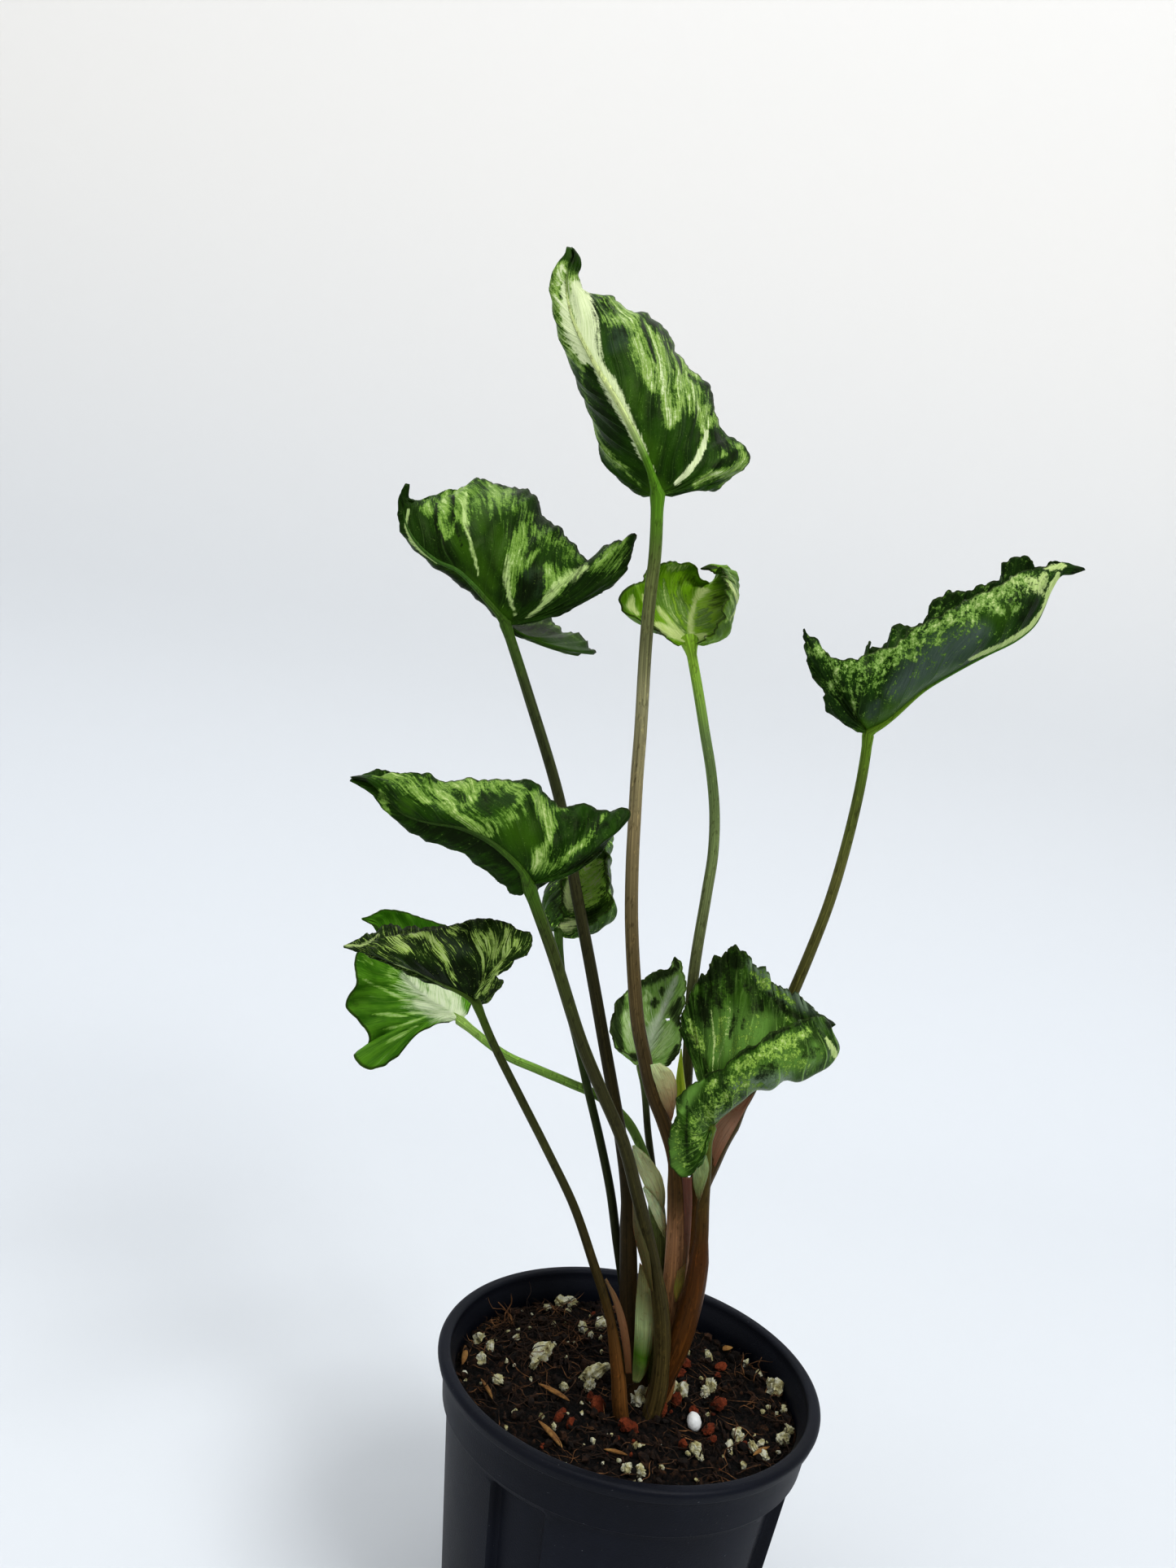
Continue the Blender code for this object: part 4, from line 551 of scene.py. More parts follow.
            (6, 0.95, 655, 973, 665, 992, 676, 1015, 674, 1032), (6, 0.95, 674, 1032, 663, 1050, 655, 1070),
            (4, 0.65, 684, 990, 695, 998), (4, 0.9, 742, 1003, 732, 1018, 718, 1036, 698, 1050),
            (3, 0.6, 702, 1008, 712, 1018)]},
    "low_left": {
        "bright both": [(5, 0.35, 583, 1226, 580, 1215)],
        "bright right": [(17, 0.6, 598, 1150, 625, 1158, 642, 1160)],
        "cream both": [(1.8, 0.8, 424, 1162, 443, 1163, 454, 1158, 467, 1148),
            (1.6, 0.7, 484, 1184, 503, 1191, 518, 1197)],
        "dark both": [(6, 0.8, 500, 1178, 540, 1200, 575, 1222)],
        "dark right": [(14, 0.8, 560, 1190, 580, 1200, 575, 1220)],
        "grey right": [(7, 0.7, 545, 1155, 560, 1165, 575, 1168)],
        "pale right": [(6, 0.72, 480, 1150, 489, 1160, 500, 1169), (4, 0.8, 502, 1148, 518, 1147, 528, 1152),
            (4, 0.92, 529, 1152, 538, 1165, 548, 1179), (3, 0.95, 548, 1179, 554, 1194, 560, 1210),
            (5, 0.6, 553, 1140, 557, 1148), (2.5, 0.95, 580, 1146, 587, 1158, 593, 1176),
            (2.2, 0.95, 593, 1176, 594, 1197, 591, 1213, 586, 1226),
            (5, 0.85, 602, 1147, 605, 1161, 607, 1176), (4, 0.9, 623, 1144, 623, 1162, 617, 1178),
            (3, 0.95, 617, 1178, 609, 1195, 602, 1208, 594, 1220), (4, 0.65, 634, 1155, 637, 1166)]},
    "pale_low": {
        "cream both": [(16, 0.55, 545, 1238, 520, 1226, 498, 1212),
            (11, 0.98, 570, 1256, 552, 1240, 538, 1232, 524, 1224),
            (9, 0.8, 520, 1222, 507, 1210, 497, 1200)],
        "cream left": [(9, 0.9, 562, 1252, 540, 1244, 512, 1232)],
        "cream right": [(12, 0.9, 560, 1235, 548, 1222, 530, 1212)],
        "dark left": [(4, 0.5, 438, 1236, 430, 1225, 432, 1212)],
        "pale both": [(14, 0.6, 540, 1236, 505, 1218, 480, 1196),
            (2.0, 0.85, 446, 1204, 470, 1216, 496, 1229, 512, 1233), (6, 0.45, 447, 1175, 455, 1190)],
        "pale left": [(2.0, 0.85, 458, 1247, 476, 1247, 493, 1249, 524, 1243),
            (2.0, 0.8, 468, 1266, 496, 1260, 524, 1250), (1.8, 0.75, 474, 1283, 493, 1272, 515, 1260)],
        "pale right": [(10, 0.7, 560, 1222, 540, 1204, 515, 1188)]},
    "small_back": {
        "bright right": [(10, 0.6, 748, 1040, 750, 1075, 748, 1110)],
        "cream both": [(5, 0.9, 699, 1084, 699, 1104, 702, 1119),
            (6, 0.85, 688, 1141, 699, 1138, 709, 1134)],
        "dark left": [(9, 0.7, 680, 1074, 680, 1095, 685, 1122)],
        "dark right": [(4, 0.7, 746, 1048, 748, 1075, 753, 1102), (6, 0.6, 738, 1118, 722, 1128, 715, 1136)],
        "pale both": [(14, 0.82, 722, 1058, 728, 1080, 722, 1104), (7, 0.8, 738, 1060, 737, 1082)],
        "pale left": [(1.5, 0.85, 693, 1068, 682, 1082, 676, 1096), (1.5, 0.6, 686, 1085, 690, 1100)],
        "pale right": [(2, 0.6, 748, 1090, 750, 1104)]},
    "small_middle": {
        "bright left": [(9, 0.6, 796, 1222, 808, 1212, 800, 1240)],
        "cream both": [(7, 0.8, 797, 1290, 803, 1268, 811, 1249),
            (3.4, 0.85, 808, 1256, 819, 1231, 826, 1214, 832, 1200)],
        "dark both": [(3, 0.8, 834, 1190, 829, 1176)],
        "dark left": [(6, 0.95, 764, 1226, 755, 1248, 756, 1270, 763, 1288), (4, 0.9, 776, 1296, 785, 1302),
            (6, 0.9, 788, 1209, 808, 1198, 830, 1191), (5, 0.9, 803, 1228, 804, 1236),
            (3.5, 0.85, 813, 1214, 814, 1222)],
        "dark right": [(6, 0.9, 836, 1228, 830, 1243, 834, 1258), (4, 0.9, 833, 1285, 828, 1300, 820, 1308)],
        "pale both": [(2, 0.7, 808, 1262, 795, 1255, 780, 1240), (2, 0.7, 815, 1245, 803, 1230, 792, 1215)],
        "pale left": [(9, 0.85, 768, 1245, 771, 1265, 776, 1287), (5, 0.6, 793, 1225, 795, 1250)],
        "pale right": [(12, 0.7, 806, 1295, 816, 1275, 824, 1262)]},
    "right_front": {
        "bright both": [(7, 0.6, 1000, 1285, 1005, 1300)],
        "bright left": [(17, 0.8, 882, 1295, 895, 1268, 900, 1250),
            (13, 0.7, 905, 1290, 925, 1270, 940, 1255)],
        "bright right": [(4, 0.8, 862, 1328, 849, 1345, 838, 1366),
            (6, 0.6, 829, 1396, 828, 1425, 838, 1441), (8, 0.7, 935, 1316, 965, 1306, 1000, 1302)],
        "cream both": [(3, 0.9, 1014, 1276, 1024, 1292, 1030, 1310)],
        "cream left": [(1.6, 0.7, 876, 1314, 878, 1277, 874, 1240),
            (2.2, 0.6, 898, 1228, 894, 1268, 882, 1308)],
        "dark both": [(5, 0.98, 1019, 1262, 1021, 1252)],
        "dark left": [(5, 0.7, 890, 1172, 905, 1168, 918, 1178),
            (10, 0.85, 862, 1207, 880, 1192, 896, 1180, 912, 1184),
            (8, 0.85, 858, 1224, 864, 1240, 868, 1258), (9, 0.75, 868, 1210, 878, 1222, 884, 1236),
            (2.2, 0.85, 902, 1246, 900, 1262, 896, 1278), (2.2, 0.8, 914, 1248, 912, 1266),
            (3, 0.75, 936, 1228, 937, 1244), (4, 0.8, 945, 1222, 965, 1240, 990, 1256),
            (6, 0.8, 894, 1199, 899, 1220), (5, 0.7, 915, 1205, 922, 1222), (4, 0.7, 929, 1232, 926, 1246),
            (4, 0.6, 907, 1240, 903, 1262)],
        "dark right": [(1.8, 0.85, 866, 1325, 905, 1300, 936, 1281, 964, 1265, 994, 1254),
            (1.6, 0.7, 845, 1350, 843, 1390, 845, 1428), (5, 0.6, 950, 1305, 958, 1312),
            (7, 0.7, 930, 1322, 955, 1310), (5, 0.6, 985, 1300, 1005, 1290)],
        "grey both": [(8, 0.75, 905, 1335, 935, 1332, 968, 1322)],
        "grey left": [(6, 0.7, 922, 1184, 942, 1204, 978, 1228, 1006, 1248)],
        "pale left": [(8, 0.5, 880, 1292, 888, 1262, 894, 1240), (8, 0.45, 902, 1290, 920, 1264, 934, 1246),
            (5, 0.85, 846, 1254, 855, 1272, 864, 1290), (5, 0.7, 922, 1190, 935, 1206, 955, 1222, 975, 1232),
            (4, 0.7, 965, 1236, 969, 1254), (4, 0.6, 880, 1205, 886, 1215)],
        "pale right": [(11, 0.52, 850, 1400, 868, 1365, 905, 1335, 955, 1312, 1005, 1296),
            (6, 0.5, 835, 1380, 832, 1410, 842, 1435), (7, 0.8, 900, 1313, 933, 1296, 963, 1284, 992, 1268),
            (5, 0.7, 913, 1326, 935, 1312, 953, 1300, 985, 1292), (9, 0.7, 893, 1345, 876, 1360, 862, 1376),
            (5, 0.65, 870, 1340, 880, 1328), (5, 0.6, 856, 1395, 862, 1412)]}}


def strokeCover(pixels, isLeft, marks, kind):  # how strongly one kind of stroke covers each point
    cover = np.zeros(len(pixels))
    for side, half in (("both", True), ("left", isLeft), ("right", ~isLeft)):
        for width, strength, *line in marks.get(kind + " " + side, []):
            line = np.reshape(line, (-1, 2))
            best = np.full(len(pixels), 1e9)
            for i, (start, end) in enumerate(zip(line[:-1], line[1:])):
                way = end - start
                at = np.clip((pixels - start) @ way / (way @ way), 0, 1)
                taper = 0.55 + 0.55 * np.sin(math.pi * (i + at) / (len(line) - 1))
                best = np.minimum(best, np.linalg.norm(pixels - start - at[:, None] * way, axis=1) / taper)
            cover = np.maximum(cover, strength * (1 - smoothStep(0.0, 2.6, best / width)) * half)
    return cover


# rows run from the margin over the midrib to the other margin, columns from foot to tip
bladeBuild = {"rows": 28, "columns": 200, "smallRows": 20, "smallColumns": 140, "thickness": 0.45 * mm,
              "curvePoints": 400, "ribs": 13, "ribHeight": 0.30 * mm, "quilt": 0.42 * mm, "swell": 0.85 * mm,
              "crinkle": 0.50 * mm, "teeth": 0.45 * mm, "step": 0.004}


def bladeCurves(leaf):
    count = bladeBuild["curvePoints"]
    curves = {"midrib": smoothCurve([spot(*p) for p in leaf["midrib"]], count)}
    for side in ("left", "right"):
        curves[side] = smoothCurve([spot(*p) for p in leaf[side] + leaf["midrib"][-1:]], count)
    return curves


def bladeSkin(leaf, curves, side, share, reach):
    # ribs run from the midrib out to the margin, bent by the puffs; the margin waves
    margin = along(curves[side], share)
    innerShare = np.clip((share - leaf["fan"]) / (1 - leaf["fan"]), 0, 1) ** 1.15
    inner = along(curves["midrib"], innerShare)
    puffs = np.array(leaf["puff" + side.capitalize()], float)
    right, down, near = (np.interp(share, puffs[:, 0], puffs[:, k])[:, None] for k in (1, 2, 3))
    scale = rimDepth / photoView["focal"]
    lift = right * scale * viewRight + down * scale * viewDown - near * mm * viewAway
    out = reach[:, None]
    bow = (inner + margin) / 2 + 2 * lift
    point = (1 - out) ** 2 * inner + 2 * out * (1 - out) * bow + out ** 2 * margin
    ahead = along(curves[side], share + 0.01) - along(curves[side], share - 0.01)
    across = np.cross(margin - inner, ahead)
    across /= np.maximum(np.linalg.norm(across, axis=1), 1e-9)[:, None]
    calm = np.minimum(1.0, np.minimum(share, 1 - share) / 0.08)
    seed = leaf["seed"] + (side == "left")
    tooth = leaf.get("tooth", (1, 1))[side == "right"] * calm
    wave = ripple(share, leaf["frills"], seed) * leaf["frill"] * mm * calm * reach ** 3
    fine = ripple(share, leaf["frills"] * 4.3, seed + 50) * bladeBuild["crinkle"] * tooth * reach ** 7
    teeth = ripple(share, leaf["frills"] * 3.1, seed + 90) * bladeBuild["teeth"] * tooth * reach ** 5
    outward = margin - inner
    outward /= np.maximum(np.linalg.norm(outward, axis=1), 1e-9)[:, None]
    return point + across * (wave + fine)[:, None] + outward * teeth[:, None]


def bladeRelief(leaf, phase, share, reach):  # height of veins, puckers and swells on the side seen
    fromRib = np.abs(phase - np.round(phase)) * 2
    fade = smoothStep(0.03, 0.3, reach) * (1 - smoothStep(0.8, 1.0, reach))
    under = 1.0 if leaf["seen"] == "under" else -1.0
    rib = np.exp(-(fromRib / 0.16) ** 2) * bladeBuild["ribHeight"] * (1 - 0.6 * reach)
    pucker = (0.4 - fromRib ** 2) * bladeBuild["quilt"]
    seed = leaf["seed"] * 0.37
    swell = np.array([noise.noise(Vector((s * 7 + seed, r * 2.2, seed))) for s, r in zip(share, reach)])
    return fade * (under * (rib + pucker) + swell * bladeBuild["swell"])


def ribPhase(leaf, side, share, reach):  # counts the lateral veins, which lean towards the leaf's foot
    turns = random.Random(leaf["seed"] + 7)
    lean = leaf.get("lean", (0.08, 0.08))[side == "right"]
    warp = share - lean * reach
    warp += 0.012 * np.sin(share * 21 + turns.uniform(0, 6)) + 0.006 * np.sin(reach * 5 + share * 40)
    return warp * bladeBuild["ribs"] + (0.3 * reach if side == "left" else 0.0)


def bySide(isLeft, width, make):  # values made for each half of the blade by itself
    made = np.empty((len(isLeft), width))
    for side, half in (("left", isLeft), ("right", ~isLeft)):
        made[half] = make(side, half).reshape(-1, width)
    return made


def bladePoints(leaf, curves, isLeft, share, reach):  # the skin with its relief, and the count of its veins
    step = bladeBuild["step"]

    def skinAt(s, r):
        return bySide(isLeft, 3, lambda side, half: bladeSkin(leaf, curves, side, s[half], r[half]))

    ahead = skinAt(np.minimum(share + step, 1), reach) - skinAt(np.maximum(share - step, 0), reach)
    outward = skinAt(share, np.minimum(reach + step, 1)) - skinAt(share, np.maximum(reach - step, 0))
    outward[isLeft] *= -1
    normal = np.cross(outward, ahead)
    normal /= np.maximum(np.linalg.norm(normal, axis=1), 1e-12)[:, None]
    phase = bySide(isLeft, 1, lambda side, half: ribPhase(leaf, side, share[half], reach[half]))[:, 0]
    calmEnds = smoothStep(0.0, 0.04, share) * (1 - smoothStep(0.93, 1.0, share))
    relief = bladeRelief(leaf, phase, share, reach) * calmEnds
    return skinAt(share, reach) + normal * relief[:, None], phase


def cutHoles(bm, holes):  # each as pixel right, pixel down and half sizes
    for px, py, across, tall in holes:
        away = [(pixelsOf([f.calc_center_median()])[0] - (px, py)) / (across, tall) for f in bm.faces]
        cut = [f for f, off in zip(bm.faces, away) if off @ off < 1]
        bmesh.ops.delete(bm, geom=cut, context="FACES")


def makeBlade(name, leaf, curves, material):
    bm = bmesh.new()
    bm.loops.layers.uv.new("ribs")
    marks = bm.verts.layers.float_color.new("marks")
    lines = bm.verts.layers.float_vector.new("lines")
    rows, columns = ("smallRows", "smallColumns") if "small" in name else ("rows", "columns")
    verts, x, share = gridVerts(bm, 2 * bladeBuild[rows], bladeBuild[columns])
    isLeft = x < 0.4999
    reach = np.minimum(np.abs(2 * x - 1), 1)
    points, phase = bladePoints(leaf, curves, isLeft, share, reach)
    moveVerts(verts, points)
    pixels = pixelsOf(points)
    covers = {kind: strokeCover(pixels, isLeft, leafMarks[name], kind)
              for kind in ("cream", "pale", "dark", "bright", "grey")}
    for i, vert in enumerate(verts):
        vert[marks] = (covers["cream"][i], covers["pale"][i], covers["dark"][i], covers["bright"][i])
        # the third value of lines is how strongly the painted sheen (painted reflection) covers the point
        vert[lines] = (phase[i], reach[i], covers["grey"][i])
    cutHoles(bm, leaf.get("holes", []))
    bmesh.ops.remove_doubles(bm, verts=bm.verts, dist=0.00002)
    bmesh.ops.dissolve_degenerate(bm, edges=bm.edges, dist=0.000005)
    piece = finishPiece("blade_" + name + "_fine", bm, material, leaf["slot"], "blade_" + name)
    giveWall(piece, bladeBuild["thickness"])


# colours of the leaf's own greens and of its cream and yellow-green marks, with the tones of its painted
# sheen and of the painted shade in its fine grooves
leafTones = {
    "deep": (0.008, 0.028, 0.002), "mid": (0.020, 0.066, 0.004), "bright": (0.060, 0.150, 0.006),
    "dark": (0.0030, 0.0080, 0.0015), "grey": (0.040, 0.070, 0.045), "pale": (0.24, 0.37, 0.085),
    "paleLow": (0.085, 0.18, 0.022), "cream": (0.50, 0.60, 0.27), "creamLow": (0.30, 0.44, 0.12),
    "vein": (0.040, 0.100, 0.012), "grooveShade": (0.40, 0.45, 0.35), "rim": (0.02, 0.032, 0.006),
    "speckle": 0.35, "scatter": 0.10, "streaks": (6.5, 4.5, 0), "hairs": (14, 5, 0), "rough": 0.36,
    "soft": 0.15, "flame": 2.3, "grain": 1.0, "ragged": 0.45, "specular": 0.13, "veins": 0.5}


def leafPatterns(tree, tones, seed):  # what the blade's attributes and noises give to its colours
    place = coordOf(tree, "Object")
    marks = attributeOf(tree, "marks")
    cream, pale, dark = addNode(tree, "ShaderNodeSeparateColor", {"Color": marks["Color"]}).outputs
    lines = attributeOf(tree, "lines")["Vector"]
    # the third value of lines is the cover of the painted sheen
    phase, reach, grey = addNode(tree, "ShaderNodeSeparateXYZ", {"Vector": lines}).outputs
    shift = (seed * 0.37, seed * 0.61, 0)
    streak = noiseOf(tree, scaled(tree, lines, tones["streaks"], shift), 1.0, 5, 0.65, 0.3)
    hair = noiseOf(tree, scaled(tree, lines, tones["hairs"], shift), 1.0, 3, 0.6)
    speck = noiseOf(tree, place, 1500, 4, 0.75)
    blotch = noiseOf(tree, place, 420, 5, 0.68)
    edge = 0.0
    for part, strength in ((streak, tones["flame"]), (speck, 1.1 * tones["grain"]), (blotch, tones["grain"])):
        edge = plus(tree, edge, mathOf(tree, "MULTIPLY_ADD", part, strength, -0.5 * strength))
    fromRib = times(tree, mathOf(tree, "PINGPONG", phase, 0.5), 2.0)
    vein = mathOf(tree, "SUBTRACT", 1.0, threshold(tree, fromRib, 0.0, 0.11))
    vein = times(tree, vein, mathOf(tree, "SUBTRACT", 1.0, threshold(tree, reach, 0.25, 0.9)))
    return {"place": place, "cream": cream, "pale": pale, "dark": dark, "bright": marks["Alpha"],
            "grey": grey, "reach": reach, "hair": hair, "blotch": blotch, "edge": edge, "fromRib": fromRib,
            "vein": vein}


def leafGreen(tree, tones, seen):
    hair = seen["hair"]
    # painted shade: the green is darker near each lateral vein and lighter midway between veins, mixed with a
    # random cloudy tone
    veinShadeAndCloud = plus(tree, times(tree, seen["fromRib"], 0.22), noiseOf(tree, seen["place"], 85, 3, 0.5))
    green = blendColours(tree, threshold(tree, veinShadeAndCloud, 0.42, 0.80), tones["deep"], tones["mid"])
    green = blendColours(tree, threshold(tree, hair, 0.50, 0.75, 0.40), green, tones["vein"])
    # painted shade: the low parts of the fine streak relief, its grooves, are darkened
    green = tinted(tree, threshold(tree, hair, 0.48, 0.34, 0.55), green, tones["grooveShade"])
    green = blendColours(tree, times(tree, seen["bright"], 0.9), green, tones["bright"])
    # painted reflection: a grey sheen tone is laid over the green where the sheen strokes lie, stronger along
    # the raised fine streaks
    green = blendColours(tree, times(tree, seen["grey"], plus(tree, hair, 0.25)), green, tones["grey"])
    green = blendColours(tree, times(tree, seen["vein"], tones["veins"]), green, tones["vein"])
    dark = mathOf(tree, "MULTIPLY_ADD", seen["edge"], -0.6, seen["dark"])
    return blendColours(tree, threshold(tree, dark, 0.25, 0.85, 0.9), green, tones["dark"])


def leafVariegation(tree, tones, seen, colour):  # flames, cream strokes, dots and the margin
    edge = seen["edge"]
    fibrous = mathOf(tree, "MULTIPLY_ADD", threshold(tree, seen["hair"], 0.36, 0.60), 0.65, 0.35)
    pale = plus(tree, edge, plus(tree, seen["pale"], tones["scatter"]))
    pale = mathOf(tree, "MULTIPLY_ADD", seen["dark"], -0.75, pale)
    colour = blendColours(tree, threshold(tree, pale, 0.36, 0.62, 0.9), colour, tones["paleLow"])
    paleTone = blendColours(tree, fibrous, tones["paleLow"], tones["pale"])
    colour = blendColours(tree, threshold(tree, pale, 0.56, 0.84), colour, paleTone)
    colour = blendColours(tree, threshold(tree, pale, 0.90, 1.35, 0.85), colour, tones["cream"])
    cream = mathOf(tree, "MULTIPLY_ADD", edge, tones["ragged"], seen["cream"])
    cream = threshold(tree, cream, 0.57 - tones["soft"], 0.57 + tones["soft"])
    creamTone = blendColours(tree, fibrous, tones["creamLow"], tones["cream"])
    colour = blendColours(tree, cream, colour, creamTone)
    dots = threshold(tree, noiseOf(tree, seen["place"], 2300, 1.5, 0.5), 0.66, 0.71, tones["speckle"])
    dots = times(tree, dots, threshold(tree, seen["blotch"], 0.45, 0.6))
    colour = blendColours(tree, dots, colour, tones["pale"])
    return blendColours(tree, threshold(tree, seen["reach"], 0.975, 0.995, 0.75), colour, tones["rim"])


def leafMaterial(name, leaf):
    tones = {**leafTones, **leaf.get("tones", {})}
    material, tree, shader = startMaterial("leaf_" + name)
    seen = leafPatterns(tree, tones, leaf["seed"])
    colour = leafVariegation(tree, tones, seen, leafGreen(tree, tones, seen))
    height = plus(tree, times(tree, seen["vein"], 0.6), times(tree, seen["hair"], 0.7))
    height = plus(tree, height, times(tree, noiseOf(tree, seen["place"], 800, 4, 0.6), 0.9))
    rough = rangeOf(tree, seen["blotch"], 0.3, 0.7, tones["rough"] - 0.06, tones["rough"] + 0.10)
    setShader(tree, shader, Base_Color=colour, Roughness=rough, Normal=bumpOf(tree, height, 0.5, 0.00028),
              Specular_IOR_Level=tones["specular"], Specular_Tint=(0.70, 0.90, 0.42))
    return material


